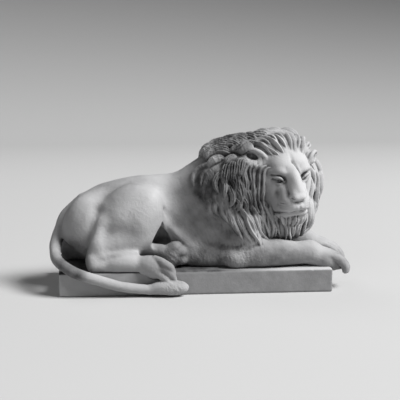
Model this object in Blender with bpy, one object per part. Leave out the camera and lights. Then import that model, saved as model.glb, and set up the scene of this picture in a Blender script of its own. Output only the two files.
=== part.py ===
"""Plaster lion lying on a plinth, its head turned to the side and its tail over the front edge.

Metres, +Z up, origin under the middle of the plinth. The lion faces +X and looks towards -Y.
The lion is built up like clay, from round masses that flow into each other, and its mane is laid
on as overlapping locks. Inside the sculpting functions lengths are in units of 1/244.5 of the
lion's length, and places are given from the middle of the plinth's top.
"""

import math
import random

import bmesh
import bpy
import numpy as np
from mathutils import Vector
from mathutils.bvhtree import BVHTree

# Driving dimensions
PLINTH_LENGTH = 0.220
PLINTH_WIDTH = 0.088
PLINTH_HEIGHT = 0.019
PLINTH_ROUNDING = 0.0012
LION_LENGTH = 0.2445        # from the bend of the tail to the tips of the forepaws
TAIL_THICKNESS = 0.0088
TAIL_LIFT = 0.0010          # between the tail's tuft and the ground
CLEARANCE = 0.0003          # between the lion and the plinth it lies on

# Fineness of the solid
GRAIN = 0.0013
LION_FACES = 9200
SEED = 11

UNIT = LION_LENGTH / 244.5
PLASTER = (0.40, 0.40, 0.40, 1.0)

# The head, from the middle of the plinth's top, and the way it looks
HEAD_PLACE = np.array([73.8, -16.0, 73.7])
HEAD_TURN, HEAD_NOD, HEAD_TILT = -73.5, -9.0, 3.5
EAR_PLACES = (-2.0, -23.6, 16.8), (3.6, 22.6, 12.4)      # on the head

# Where the mane's edge runs down the near and the far side: heights, and x at each
NEAR_EDGE = (40, 46, 60, 74, 88, 96), (54, 41, 27, 22, 20, 18)
FAR_EDGE = (34, 60, 88), (38, 24, 16)

GROOVE = 0.45                      # depth of the grooves between strands, of the lock's height

#        length, half width, height, wave, curl, strands
LOCKS = {
    "crown": (16.0, 4.0, 3.7, 0.45, 1.3, 2),
    "side": (21.0, 3.8, 3.3, 0.50, 0.9, 2),
    "ruff": (30.0, 3.1, 2.9, 0.32, 0.4, 2),
    "beard": (22.0, 2.8, 2.7, 0.40, 0.2, 1),
}


def turned(axis, degrees):
    """Rotation matrix about x, y or z."""
    a = math.radians(degrees)
    c, s = math.cos(a), math.sin(a)
    return {
        "x": np.array([[1, 0, 0], [0, c, -s], [0, s, c]]),
        "y": np.array([[c, 0, s], [0, 1, 0], [-s, 0, c]]),
        "z": np.array([[c, -s, 0], [s, c, 0], [0, 0, 1]]),
    }[axis]


def frame_along(forward, up=(0, 0, 1)):
    """Matrix whose columns are forward, left and up."""
    f = np.asarray(forward, float)
    f = f / np.linalg.norm(f)
    left = np.cross(up, f)
    left /= np.linalg.norm(left)
    return np.column_stack([f, left, np.cross(f, left)])


def smooth_rows(rows, fine):
    """Catmull-Rom curve through the rows, with fine steps between two of them."""
    rows = np.asarray(rows, float)
    ends = np.vstack([2 * rows[0] - rows[1], rows, 2 * rows[-1] - rows[-2]])
    out = []
    for i in range(1, len(ends) - 2):
        a, b, c, d = ends[i - 1:i + 3]
        for t in np.arange(fine) / fine:
            out.append(0.5 * (2 * b + (c - a) * t + (2 * a - 5 * b + 4 * c - d) * t * t
                              + (3 * b - a - 3 * c + d) * t ** 3))
    out.append(rows[-1])
    return np.array(out)


class Clay:
    """A block of space that knows how far each of its points is from the modelled surface."""

    REACH = 30.0

    def __init__(self, low, high, step):
        self.low = np.array(low, float)
        self.step = float(step)
        counts = np.ceil((np.array(high, float) - self.low) / step).astype(int) + 1
        self.field = np.full(counts, self.REACH, np.float32)

    def window(self, low, high):
        shape = np.array(self.field.shape)
        first = np.clip(np.floor((low - self.low) / self.step).astype(int), 0, shape)
        last = np.clip(np.ceil((high - self.low) / self.step).astype(int) + 1, 0, shape)
        where = tuple(slice(a, b) for a, b in zip(first, last))
        axes = [(self.low[i] + self.step * np.arange(first[i], last[i])).astype(np.float32)
                for i in range(3)]
        return where, np.ix_(*axes)

    def merge(self, where, other, blend, carve):
        """Add a form with a soft joint, or carve it away."""
        mine = self.field[where]
        if carve:
            other = -other
        soft = np.maximum(blend - np.abs(mine - other), 0) / blend
        fillet = soft * soft * blend / 4
        if carve:
            self.field[where] = np.maximum(mine, other) + fillet
        else:
            self.field[where] = np.minimum(mine, other) - fillet

    def ellipsoid(self, centre, radii, turn=None, blend=6.0, carve=False):
        centre, radii = np.asarray(centre, float), np.asarray(radii, float)
        turn = np.eye(3) if turn is None else turn
        reach = np.sqrt(((turn * radii) ** 2).sum(1)) + 14
        where, (x, y, z) = self.window(centre - reach, centre + reach)
        x, y, z = x - centre[0], y - centre[1], z - centre[2]
        scaled = steep = 0
        for i in range(3):
            q = turn[0, i] * x + turn[1, i] * y + turn[2, i] * z
            scaled = scaled + (q / radii[i]) ** 2
            steep = steep + (q / radii[i] ** 2) ** 2
        scaled, steep = np.sqrt(scaled), np.sqrt(steep)
        distance = scaled * (scaled - 1) / np.maximum(steep, 1e-6)
        self.merge(where, distance.astype(np.float32), blend, carve)

    def roll(self, points, radii, blend=4.0, carve=False, fine=4):
        """A roll of clay that follows a curve and changes its thickness along it."""
        points = np.asarray(points, float)
        radii = np.broadcast_to(np.asarray(radii, float), (len(points),))
        rows = np.column_stack([points, radii])
        if len(points) > 2:
            rows = smooth_rows(rows, fine)
        points, radii = rows[:, :3], rows[:, 3]
        low = (points - radii[:, None]).min(0) - 14
        high = (points + radii[:, None]).max(0) + 14
        where, _ = self.window(low, high)
        nearest = np.full(self.field[where].shape, self.REACH, np.float32)
        first = [s.start for s in where]
        for a, b, ra, rb in zip(points[:-1], points[1:], radii[:-1], radii[1:]):
            r = max(ra, rb) + 14
            inner, (x, y, z) = self.window(np.maximum(np.minimum(a, b) - r, low),
                                           np.minimum(np.maximum(a, b) + r, high))
            inner = tuple(slice(s.start - o, s.stop - o) for s, o in zip(inner, first))
            way = b - a
            x, y, z = x - a[0], y - a[1], z - a[2]
            h = np.clip((x * way[0] + y * way[1] + z * way[2]) / max(way @ way, 1e-9), 0, 1)
            x, y, z = x - h * way[0], y - h * way[1], z - h * way[2]
            distance = np.sqrt(x * x + y * y + z * z) - (ra + h * (rb - ra))
            nearest[inner] = np.minimum(nearest[inner], distance)
        self.merge(where, nearest, blend, carve)

    def skin(self):
        """Points and quads of the surface: one point in each cell that it crosses."""
        corners = np.array([(i, j, k) for i in (0, 1) for j in (0, 1) for k in (0, 1)])
        edges = [(a, b) for a in range(8) for b in range(a + 1, 8)
                 if np.abs(corners[a] - corners[b]).sum() == 1]
        solid = self.field < 0
        cells = tuple(n - 1 for n in solid.shape)
        base = solid[:-1, :-1, :-1]
        crossed = np.zeros(cells, bool)
        for i, j, k in corners[1:]:
            crossed |= solid[i:i + cells[0], j:j + cells[1], k:k + cells[2]] != base
        found = np.argwhere(crossed)
        number = np.full(cells, -1, np.int32)
        number[crossed] = np.arange(len(found))
        values = self.field[tuple((found[:, None, :] + corners).transpose(2, 0, 1))]
        total, count = np.zeros((len(found), 3)), np.zeros(len(found))
        for a, b in edges:
            va, vb = values[:, a], values[:, b]
            cross = (va < 0) != (vb < 0)
            t = np.where(cross, va / np.where(cross, va - vb, 1), 0)[:, None]
            total += np.where(cross[:, None], corners[a] + t * (corners[b] - corners[a]), 0)
            count += cross
        points = self.low + self.step * (found + total / count[:, None])
        quads = []
        for axis in range(3):
            u, v = (axis + 1) % 3, (axis + 2) % 3
            near = [slice(None)] * 3
            far = [slice(None)] * 3
            near[axis], far[axis] = slice(None, -1), slice(1, None)
            here = np.argwhere(solid[tuple(near)] != solid[tuple(far)])
            step_u, step_v = np.eye(3, dtype=int)[u], np.eye(3, dtype=int)[v]
            ring = [number[tuple((here - s).T)]
                    for s in (0 * step_u, step_u, step_u + step_v, step_v)]
            ring = np.column_stack(ring)
            leaving = solid[tuple(here.T)]
            quads.append(np.where(leaving[:, None], ring, ring[:, ::-1]))
        return points, np.vstack(quads)


def head_axes():
    """Forward, left and up of the head."""
    turn, nod = math.radians(HEAD_TURN), math.radians(HEAD_NOD)
    forward = (math.cos(turn) * math.cos(nod), math.sin(turn) * math.cos(nod), math.sin(nod))
    return frame_along(forward) @ turned("x", HEAD_TILT)


def on_head(forward, left, up):
    return HEAD_PLACE + head_axes() @ np.array([forward, left, up], float)


def model_trunk(clay):
    mass, roll = clay.ellipsoid, clay.roll
    mass((0, 5, 36), (42, 27, 38), turned("y", -10), 1)         # ribcage
    mass((2, 2, 17), (44, 26, 20), None, 10)                    # belly
    mass((-34, 6, 34), (36, 24, 37), turned("y", -4), 14)       # loin
    mass((-60, 5, 25), (44, 25, 42), turned("y", 7), 14)        # pelvis
    mass((-91, 7, 13), (20, 20, 22), None, 12)                  # far buttock
    mass((-46, 27, 16), (34, 15, 21), turned("z", -4), 12)      # far thigh
    mass((-8, 26, 20), (24, 10, 20), None, 10)                  # far flank
    mass((26, 0, 46), (26, 29, 40), turned("y", -10), 14)       # withers
    mass((24, -20, 48), (20, 14, 33), turned("y", -16), 10)     # near shoulder
    mass((37, -24, 30), (15, 12, 19), turned("y", 14), 8)
    mass((26, 22, 40), (22, 13, 33), turned("y", -14), 10)      # far shoulder
    mass((40, 20, 20), (16, 11, 18), None, 8)
    mass((50, -2, 34), (22, 22, 34), None, 10)                  # chest
    roll([(14, 0, 58), (34, -1, 67), (52, -3, 71), (64, -1, 72)], [27, 31, 29, 26], 10)
    roll([(-12, -20, 9), (4, -23, 8), (20, -24, 8), (34, -25, 8)], [7.5, 8.5, 8.5, 8], 5)   # fringe


def model_haunch(clay):
    """Hind legs: the near one folded under its thigh, the far one's foot out beside the belly."""
    mass, roll = clay.ellipsoid, clay.roll
    mass((-86, -10, 33), (19.5, 15, 24), turned("y", 10), 12)                  # near buttock
    mass((-50, -19, 37), (27, 17, 31), turned("y", 12), 10)                    # near thigh
    mass((-43, -23, 31), (14, 13, 17), turned("y", 22), 8)
    roll([(-38, -26, 22), (-58, -30, 20), (-76, -32, 19)], [6, 8, 7], 8)       # shank
    roll([(-79, -24, 47), (-82, -29, 31), (-85, -33, 14)], [1.0, 1.4, 2.0], 8, True)
    roll([(-66, -17.5, 66.6), (-60, -18.5, 68.2), (-53, -19, 68.4), (-47, -19.6, 68.2)],
         [0.1, 0.3, 0.3, 0.1], 2.4, True)
    mass((-39, -27.5, 44), (9, 8, 15), turned("y", 20), 9)                     # front of the thigh
    for y in (1, -7, -16, -25, -34, -43):                                      # under the buttock
        roll([(-117, y, 17), (-105.5, y, 7), (-92.5, y, -2.5)], [11.3, 10.8, 10.4], 1.2, True)
    for y in (-35, -29, -23, -18):                                             # under the knee
        roll([(-27.8, y, 38.6), (-27.6, y, 21)], [0.6, 8.6], 1.2, True)
    roll([(-34, -19, 58), (-28.5, -22.5, 45), (-19.5, -24, 33), (-10, -24, 23), (-1, -21.5, 14),
          (7, -17, 8)], [3, 2.4, 2.4, 2.8, 2.8, 2], 5)                         # fold of the flank
    roll([(-25, -25, 47), (-18, -27.5, 37), (-9, -28, 27)], [0.5, 1.2, 0.6], 5, True)
    roll([(-75, -24, 36), (-79.5, -29, 23), (-83, -34, 9)], [3.6, 4.0, 5.4], 9)    # hamstring
    mass((-82, -36.5, 6.4), (6.0, 6.4, 7.0), turned("y", 10), 3)               # heel
    mass((-74, -35.5, 11.5), (6.5, 6.0, 5.0), None, 4)
    mass((-60, -33, 14), (14, 6.5, 4), None, 4)
    roll([(-48, -38.2, 14.2), (-60, -39.4, 13.8), (-70, -38.8, 13.2)], [1.2, 1.6, 1.2], 3)
    mass((-57, -39, 7.0), (17, 8.0, 6.6), turned("y", -3), 3)                  # metatarsus
    roll([(-82, -38, 4.5), (-66, -39, 4.6), (-44, -40, 4.8)], [5.4, 5.4, 6.0], 2)
    roll([(-75.5, -44.5, 17), (-76, -46.8, 12), (-75.5, -48.6, 6)], [0.3, 0.6, 0.5], 4, True)
    roll([(-68, -47.2, 11.6), (-58, -47.6, 11.8), (-46, -46.6, 12.0)], [0.7, 0.9, 0.6], 1.4, True)
    mass((-34.5, -42, 3.4), (12.5, 8.6, 8.8), turned("y", 28), 4)             # near hind paw
    for x, z in ((-19.6, 0.6), (-19.0, -4.4), (-22.4, -9.2)):
        roll([(x - 14, -44.0, z + 10.4), (x - 8.6, -47.4, z + 8.2), (x - 2.6, -49.2, z + 4.4), (x, -48.6, z)],
             [2.6, 3.2, 3.2, 2.5], 0.9)
        roll([(x + 1.6, -50.4, z - 0.4), (x + 1.0, -50.2, z - 1.8)], [0.6, 0.4], 0.4)
    roll([(-56, -22, 13), (-42, -25, 15.0), (-28, -26, 14)], [5.5, 5.0, 5.2], 3)
    mass((-18.5, -26, 10.0), (8.6, 8.0, 10.6), turned("y", 12), 3)             # far hind paw
    for x, z in ((-16.0, 17.0), (-11.4, 12.6), (-11.0, 6.4)):
        mass((x, -28.0, z), (4.6, 5.4, 4.2), None, 2.0)


def model_forelegs(clay):
    mass, roll = clay.ellipsoid, clay.roll
    mass((33, -30, 7), (11, 10, 7.4), None, 6)                                 # elbow
    roll([(32, -31, 7), (46, -31, 9.4), (64, -30, 11.2), (82, -29, 10.6), (94, -28, 11.2)],
         [7, 9.4, 11.2, 9.4, 9.6], 4)
    roll([(34, -26, 36), (42, -30, 26), (50, -31, 19)], [10, 8, 6], 8)         # over the elbow
    roll([(38, -39, 15), (50, -39.5, 20), (62, -36, 24)], [0.6, 1.1, 0.8], 2.4, True)
    roll([(16, -35, 40), (24, -37, 28), (31, -39, 17)], [0.4, 1.0, 1.0], 6, True)
    model_paw(clay, (91, -28, 10.5), (129, -25, -2.6), 11.0)
    roll([(38, 16, 12), (72, 10, 13.5), (96, 3, 15)], [11.5, 10.5, 9.4], 6)
    model_paw(clay, (96, 3, 14.5), (129, -7, 1.0), 10.2)


def model_paw(clay, wrist, tip, size, toes=4):
    """A paw from wrist to tip, with toes fanned across its front and bent at the knuckle."""
    wrist, tip = np.asarray(wrist, float), np.asarray(tip, float)
    length = np.linalg.norm(tip - wrist)
    axes = frame_along(tip - wrist)
    clay.ellipsoid(wrist + (tip - wrist) * 0.38, (length * 0.46, size * 0.98, size * 0.84), axes, 4)
    for i in range(toes):
        s = 2 * i / (toes - 1) - 1
        joints = [(0.28, 0.52 * s, 0.26), (0.64 - 0.04 * s * s, 0.74 * s, 0.36),
                  (0.86 - 0.07 * s * s, 0.78 * s, 0.02), (0.92 - 0.08 * s * s, 0.74 * s, -0.34)]
        places = [wrist + axes @ np.array([length * a, size * b, size * c]) for a, b, c in joints]
        clay.roll(places, [size * 0.26, size * 0.33, size * 0.31, size * 0.24], 0.9)


def model_tail(clay):
    """Round the end of the plinth, over its front edge and along its front to the tuft."""
    r = TAIL_THICKNESS / UNIT / 2
    end, front = -PLINTH_LENGTH / UNIT / 2, -PLINTH_WIDTH / UNIT / 2
    floor = -PLINTH_HEIGHT / UNIT
    beside = front - r + 0.2
    tuft = floor + 6.2 + TAIL_LIFT / UNIT
    path = [(-88, 6, 46), (end + 8, 4, 37), (end + 2, 0, 28.5), (end - 1.8, -6, 21),
            (end - 3.2, -15, 14.5), (end - 1.4, front + 13, 9), (end + 6.5, front + 1, 4.2),
            (end + 18, beside + 0.6, -0.8),
            (end + 34, beside, 0.3 * floor), (end + 50, beside, 0.55 * floor),
            (end + 72, beside, 0.7 * floor)]
    clay.roll(path, [11, 7.6, 1.14 * r, r, 1.04 * r, 1.02 * r, r, r, 0.96 * r, 0.92 * r,
                     0.88 * r], 3, fine=6)
    clay.roll([(end + 72, beside, 0.7 * floor), (end + 80, beside - 0.8, tuft),
               (end + 89, beside - 1.2, tuft), (end + 96, beside - 0.8, tuft),
               (end + 99.5, beside - 0.2, tuft)], [3.8, 5.4, 6.1, 5.4, 3.6], 1.5)


def model_head(clay):
    axes = head_axes()

    def mass(centre, radii, turn=None, blend=4.0, carve=False):
        clay.ellipsoid(on_head(*centre), radii, axes if turn is None else axes @ turn, blend, carve)

    def roll(points, radii, blend=2.0, carve=False):
        clay.roll([on_head(*p) for p in points], radii, blend, carve)

    mass((-4, 0, 2), (19, 21.5, 21), blend=8)
    mass((3, 0, 8), (12.5, 16.5, 13), blend=6)                          # forehead
    mass((12.5, 0, -15), (12, 9.4, 12.5), blend=6)                      # core of the muzzle
    for s in (-1, 1):
        mass((9.0, s * 8.0, 11), (6.4, 7.6, 5.6), turned("x", s * -8), 5)    # boss over the eye
        mass((3.5, s * 12.8, -8), (10.5, 8.6, 15), blend=6)             # cheek
        roll([(15.6, s * 5.8, 6.0), (15.0, s * 11, 7.8), (10.0, s * 16.6, 6.8)], [2.2, 2.4, 1.9], 3)
        roll([(12.0, s * 6.4, -3), (17.0, s * 6.4, -9), (20.0, s * 6.4, -15)],
             [4.6, 5.4, 6.0], 4)                                        # side of the muzzle
        mass((10, s * 10.8, -19), (8, 5.4, 8), blend=5)                 # jowl
        mass((21.6, s * 5.5, -16.4), (8.8, 6.5, 6.6), turned("y", 14), 3)  # whisker pad
        roll([(29.0, s * 1.8, -18.8), (26.6, s * 5.6, -20.2), (20.6, s * 9.6, -21.7),
              (11, s * 12.8, -23.6)], [2.4, 2.8, 3.0, 2.6], 2)          # upper lip
        roll([(15.4, s * 1.8, 8), (20, s * 2.4, -1), (27.0, s * 3.3, -8.2)], [3.2, 3.4, 3.2], 3)
        roll([(27.2, s * 5.2, -10.8), (30.2, s * 3.2, -11.0)], [1.7, 2.0], 2)     # nostril wing
    mass((21, 0, 0), (12, 4.6, 5.8), turned("y", 48), 3)                # flat of the nose
    mass((29.6, 0, -10.8), (2.9, 4.9, 2.8), blend=2)                    # tip of the nose
    mass((23.6, 0, -18), (6.0, 4.5, 6.5), blend=2)
    roll([(11, -13.5, -29.0), (19.4, -9.8, -27.3), (25.2, 0, -25.0), (19.4, 9.8, -27.3),
          (11, 13.5, -29.0)], 2.4, 1.6)                                 # lower lip
    mass((13.4, 0, -30), (10.4, 12, 6.0), blend=3)                      # chin
    for s in (-1, 1):
        mass((18.0, s * 12.6, 1.0), (5.2, 5.6, 3.6), turned("x", s * 10), 2.2, True)
        mass((11.2, s * 12.2, 0.7), (4.0, 4.4, 3.4), blend=0.4)         # eyeball in its socket
        roll([(16.2, s * 7.6, -0.6), (16.6, s * 12.0, 3.0), (12.2, s * 17.0, 2.8)],
             [0.8, 1.2, 0.9], 0.8)                                      # upper lid
        roll([(15.6, s * 7.8, -1.6), (15.2, s * 12.2, -2.5), (11.8, s * 16.6, 0.2)],
             [0.7, 1.0, 0.8], 0.8)                                      # lower lid
        roll([(16.2, s * 8.4, -0.9), (16.2, s * 12.0, 0.5), (12.8, s * 16.4, 1.6)],
             [0.6, 1.25, 0.7], 0.3, True)                               # eye, hollowed under its lid
        mass((15.6, s * 11.8, -0.1), (2.2, 1.2, 1.2), blend=0.3, carve=True)      # pupil
        roll([(18.2, s * 8.2, 4.0), (17.2, s * 12.2, 5.4), (12.2, s * 17.4, 4.9)], [0.2, 0.4, 0.2],
             1.6, True)
        roll([(31.8, s * 2.6, -13.0), (30.8, s * 4.7, -12.6), (28.4, s * 6.3, -11.0)],
             [0.8, 1.2, 0.7], 0.5, True)                                # nostril
        roll([(31.6, s * 3.6, -13.9), (31.4, s * 0.3, -15.9)], [0.7, 0.9], 0.6, True)
        roll([(31.2, 0, -21.6), (29.0, s * 5.4, -23.0), (21.8, s * 11.0, -25.1),
              (12.5, s * 14.6, -27.0)], [1.0, 1.1, 0.9, 0.4], 0.5, True)    # mouth
        for low in (-15.6, -17.6, -19.4):                               # rows of whiskers
            roll([(30.2, s * 6.4, low + 0.6), (27.4, s * 10.4, low), (20.5, s * 12.6, low - 1.2)],
                 [0.3, 0.55, 0.3], 0.8, True)
    roll([(32.2, 0, -15.6), (31.6, 0, -18.4), (31.2, 0, -21)], [0.7, 0.8, 0.9], 0.8, True)
    roll([(10.5, 0, 21), (14.8, 0, 15)], [0.3, 0.5], 2.6, True)         # furrows of the brow
    roll([(14.6, 0, 15), (17.4, 2.8, 9.5), (18.8, 4.7, 4), (19.4, 5.4, -0.5)],
         [0.2, 0.45, 0.4, 0.1], 2.0, True)


def model_mane_bed(clay):
    """The mass of the mane, under its locks."""
    axes = head_axes()
    clay.ellipsoid((67.5, -1, 75), (15, 30, 31), axes, 8)
    clay.ellipsoid(on_head(-2, -1.5, -34), (14, 18, 18), axes, 8)
    clay.ellipsoid(on_head(2, -11, -45), (9, 9, 9), axes, 4)
    clay.ellipsoid((31, -22, 58), (16, 12, 23), turned("y", -20), 10)
    for s in (-1, 1):
        ruff = [(-5, 0, 23), (-5, s * 14.5, 19), (-7, s * 22.5 - 1.5, 10), (-5, s * 26.5, -6),
                (-2, s * 24, -22), (3, s * 16, -34), (6, s * 6, -42)]
        clay.roll([on_head(*p) for p in ruff], [7, 7.5, 7.5, 7.5, 7, 6.5, 6], 5)
    for left in (-14, -7, 0, 7, 14):
        clay.roll([on_head(11 - abs(left) * 0.3, left, -28), on_head(13 - abs(left) * 0.2, left - 1, -38),
                   on_head(15 - abs(left) * 0.2, left * 0.85 - 2.5, -47 + abs(left) * 0.2)],
                  [6, 6, 4], 3)


def model_ears(clay):
    axes = head_axes()
    for place, s, k, w in zip(EAR_PLACES, (-1, 1), (0.90, 0.84), (1.32, 1.0)):
        turn = frame_along(axes @ np.array([0.82, s * 0.50, 0.20]), axes[:, 2]) @ turned("x", s * 20)
        size = np.array([k, k * w, k])
        centre = on_head(*place)
        clay.ellipsoid(centre, np.array([4.2, 7.6, 5.6]) * size, turn, 2.0)
        rim = ((1.0, -s * 8.2, 0.2), (3.0, -s * 5.0, 3.4), (3.8, -s * 0.5, 5.2), (3.0, s * 4.6, 4.6),
               (1.2, s * 9.4, 1.0), (0.6, s * 8.2, -2.4))
        clay.roll([centre + turn @ (np.array(p) * size) for p in rim],
                  k * np.array([1.1, 1.8, 2.1, 1.9, 1.2, 1.0]), 1.2)
        clay.ellipsoid(centre + turn @ (np.array([5.0, -s * 1.0, -0.8]) * size),
                       np.array([4.2, 4.6, 3.3]) * size, turn, 1.2, True)


def model_lion():
    end, side = PLINTH_LENGTH / UNIT / 2, PLINTH_WIDTH / UNIT / 2
    low = (min(-124, -end - 14), min(-62, -side - 18), min(-23, -PLINTH_HEIGHT / UNIT - 4))
    clay = Clay(low, (136, 62, 122), GRAIN / UNIT)
    model_trunk(clay)
    model_haunch(clay)
    model_forelegs(clay)
    model_tail(clay)
    model_mane_bed(clay)
    model_head(clay)
    model_ears(clay)
    return clay.skin()


def ramp(value, start, end):
    return max(0.0, min(1.0, (value - start) / (end - start)))


class Mane:
    """Lays locks on the lion's skin, each along the way the hair grows there."""

    def __init__(self, points, quads):
        self.skin = BVHTree.FromPolygons(points.tolist(), quads.tolist())
        self.random = random.Random(SEED)
        self.points, self.faces = [], []
        axes = head_axes()
        self.forward, self.left, self.up = (Vector(axes[:, i]) for i in range(3))
        self.head = Vector(HEAD_PLACE)
        self.ears = [Vector(on_head(*place)) for place in EAR_PLACES]

    def seen_from_head(self, p):
        q = p - self.head
        return q.dot(self.forward), q.dot(self.left), q.dot(self.up)

    def growth(self, p):
        """Direction of the hair: away from the brow, round the face and down to the beard."""
        forward, left, up = self.seen_from_head(p)
        s = 1 if left > 0 else -1
        angle = math.atan2(abs(left), up + 4)
        out = self.left * (s * math.sin(angle)) + self.up * math.cos(angle)
        around = self.left * (s * math.cos(angle)) - self.up * math.sin(angle)
        low = ramp(math.degrees(angle), 35, 75)
        ruff = out * (1 - low) + around * (0.2 + 0.8 * low) - self.forward * (0.5 * (1 - low))
        beard = ramp(-up, 16, 26)
        ruff = ruff * (1 - beard) + Vector((0, 0, -1)) * beard
        crown = ramp(p.z, 78, 96)
        lean = -0.75 + 1.15 * ramp(-p.z, -80, -58)
        back = ((Vector((-1, 0, -0.1)) - self.forward * 0.3) * crown
                + Vector((lean, 0, -1)) * (1 - crown))
        near = ramp(forward, -12, 0)
        return (ruff * near + back * (1 - near)).normalized()

    def sort_at(self, p):
        """Kind of lock that grows at p, or None outside the mane."""
        forward, left, up = self.seen_from_head(p)
        round_face = math.hypot(left / 21.5, (up + 5) / 25.0)
        if forward > -6 and round_face < 1.0 and up > -24:
            return None
        if forward > 9 and up > -27.5 and abs(left) < 17:
            return None
        if any((p - ear).length < 8.5 for ear in self.ears):
            return None
        if p.x < np.interp(p.z, *(NEAR_EDGE if p.y < 0 else FAR_EDGE)):
            return None
        if up < -20 and forward > -6 and abs(left) < 20:
            return "beard" if p.z > 38 else None
        if p.z < 40:
            return None
        if forward > -9 and round_face < 1.6:
            return "ruff"
        return "crown" if p.z > 80 else "side"

    def find_roots(self, tries=22000):
        """Roots spread over the mane like bricks: close across the hair, far along it."""
        roots = []
        low, high = Vector((-2, -52, 18)), Vector((112, 40, 116))
        for _ in range(tries):
            p = Vector([self.random.uniform(a, b) for a, b in zip(low, high)])
            q, normal, _, _ = self.skin.find_nearest(p)
            sort = self.sort_at(q) if (q - p).length < 5 else None
            if not sort:
                continue
            length, width = LOCKS[sort][:2]
            way = self.growth(q)
            way = (way - normal * way.dot(normal)).normalized()
            for other, _, other_length, other_width in roots:
                apart = q - other
                along = apart.dot(way)
                across = (apart - way * along).length
                if (along / (0.165 * (length + other_length))) ** 2 \
                        + (across / (0.62 * (width + other_width))) ** 2 < 1:
                    break
            else:
                roots.append((q, sort, length, width))
        return sorted(roots, key=lambda root: -(root[0] - self.head).length)

    def lay_lock(self, root, length, width, height, wave, curl, strands, steps=9, sides=10):
        p, normal, _, _ = self.skin.find_nearest(root)
        path, normals = [], []
        for i in range(steps + 1):
            t = i / steps
            lift = -1.2 * (1 - t) ** 2 + 6.0 * t * (1 - t) + 0.6 * t * t
            path.append(p + normal * lift)
            normals.append(normal)
            way = self.growth(p)
            way = (way - normal * way.dot(normal)).normalized()
            turn = wave * math.sin(t * 2 * math.pi) + curl * t * t
            way = way * math.cos(turn) + normal.cross(way) * math.sin(turn)
            p, found, _, _ = self.skin.find_nearest(p + way * (length / steps))
            normal = (normal * 0.6 + found * 0.4).normalized()
        if any((p - ear).length < 6.0 for p in path for ear in self.ears):
            return
        base = len(self.points)
        for i, (p, normal) in enumerate(zip(path, normals)):
            t = i / steps
            way = (path[min(i + 1, steps)] - path[max(i - 1, 0)]).normalized()
            normal = (normal - way * normal.dot(way)).normalized()
            side = way.cross(normal)
            wide = width * max((1 - t ** 3.4) ** 0.7 * (0.5 + 0.5 * min(t / 0.25, 1) ** 0.7), 0.06)
            tall = height * max((1 - t ** 4) ** 0.6, 0.1)
            for j in range(sides):
                a = 2 * math.pi * j / sides
                u, v = math.cos(a), math.sin(a)
                crease = 1 - abs(math.sin(math.pi * strands * (u + 1) / 2)) ** 0.55
                v *= 1 - GROOVE * crease if v > 0 else 0.8
                self.points.append(p + side * (u * wide) + normal * (v * tall))
        for i in range(steps):
            for j in range(sides):
                a, b = base + i * sides + j, base + i * sides + (j + 1) % sides
                self.faces.append((a, b, b + sides, a + sides))
        self.faces.append(tuple(range(base + sides - 1, base - 1, -1)))
        self.faces.append(tuple(range(base + steps * sides, base + (steps + 1) * sides)))

    def grow(self):
        pick = self.random
        for root, sort, _, _ in self.find_roots():
            length, width, height, wave, curl, strands = LOCKS[sort]
            hand = -1 if self.seen_from_head(root)[1] > 0 else 1
            hand = hand if pick.random() < 0.75 else -hand
            self.lay_lock(root, length * pick.uniform(0.88, 1.2), width * pick.uniform(0.85, 1.12),
                          height * pick.uniform(0.85, 1.15), wave * pick.uniform(0.6, 1.3) * hand,
                          curl * pick.uniform(0.5, 1.2) * hand, strands)


def plaster(name):
    material = bpy.data.materials.new(name)
    material.use_nodes = True
    shader = material.node_tree.nodes["Principled BSDF"]
    shader.inputs["Base Color"].default_value = PLASTER
    shader.inputs["Roughness"].default_value = 0.85
    shader.inputs["Metallic"].default_value = 0.0
    return material


def add_object(name, mesh):
    thing = bpy.data.objects.new(name, mesh)
    bpy.context.scene.collection.objects.link(thing)
    return thing


def box_mesh(name, length, width, bottom, top):
    mesh = bpy.data.meshes.new(name)
    shape = bmesh.new()
    bmesh.ops.create_cube(shape, size=1.0)
    bmesh.ops.scale(shape, verts=shape.verts, vec=(length, width, top - bottom))
    bmesh.ops.translate(shape, verts=shape.verts, vec=(0, 0, (top + bottom) / 2))
    shape.to_mesh(mesh)
    shape.free()
    return mesh


def add_plinth():
    plinth = add_object("plinth", box_mesh("plinth", PLINTH_LENGTH, PLINTH_WIDTH, 0.0, PLINTH_HEIGHT))
    rounding = plinth.modifiers.new("rounded edges", "BEVEL")
    rounding.width = min(PLINTH_ROUNDING, 0.3 * min(PLINTH_LENGTH, PLINTH_WIDTH, PLINTH_HEIGHT))
    rounding.segments = 3
    plinth.data.materials.append(plaster("plinth plaster"))
    return plinth


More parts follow.
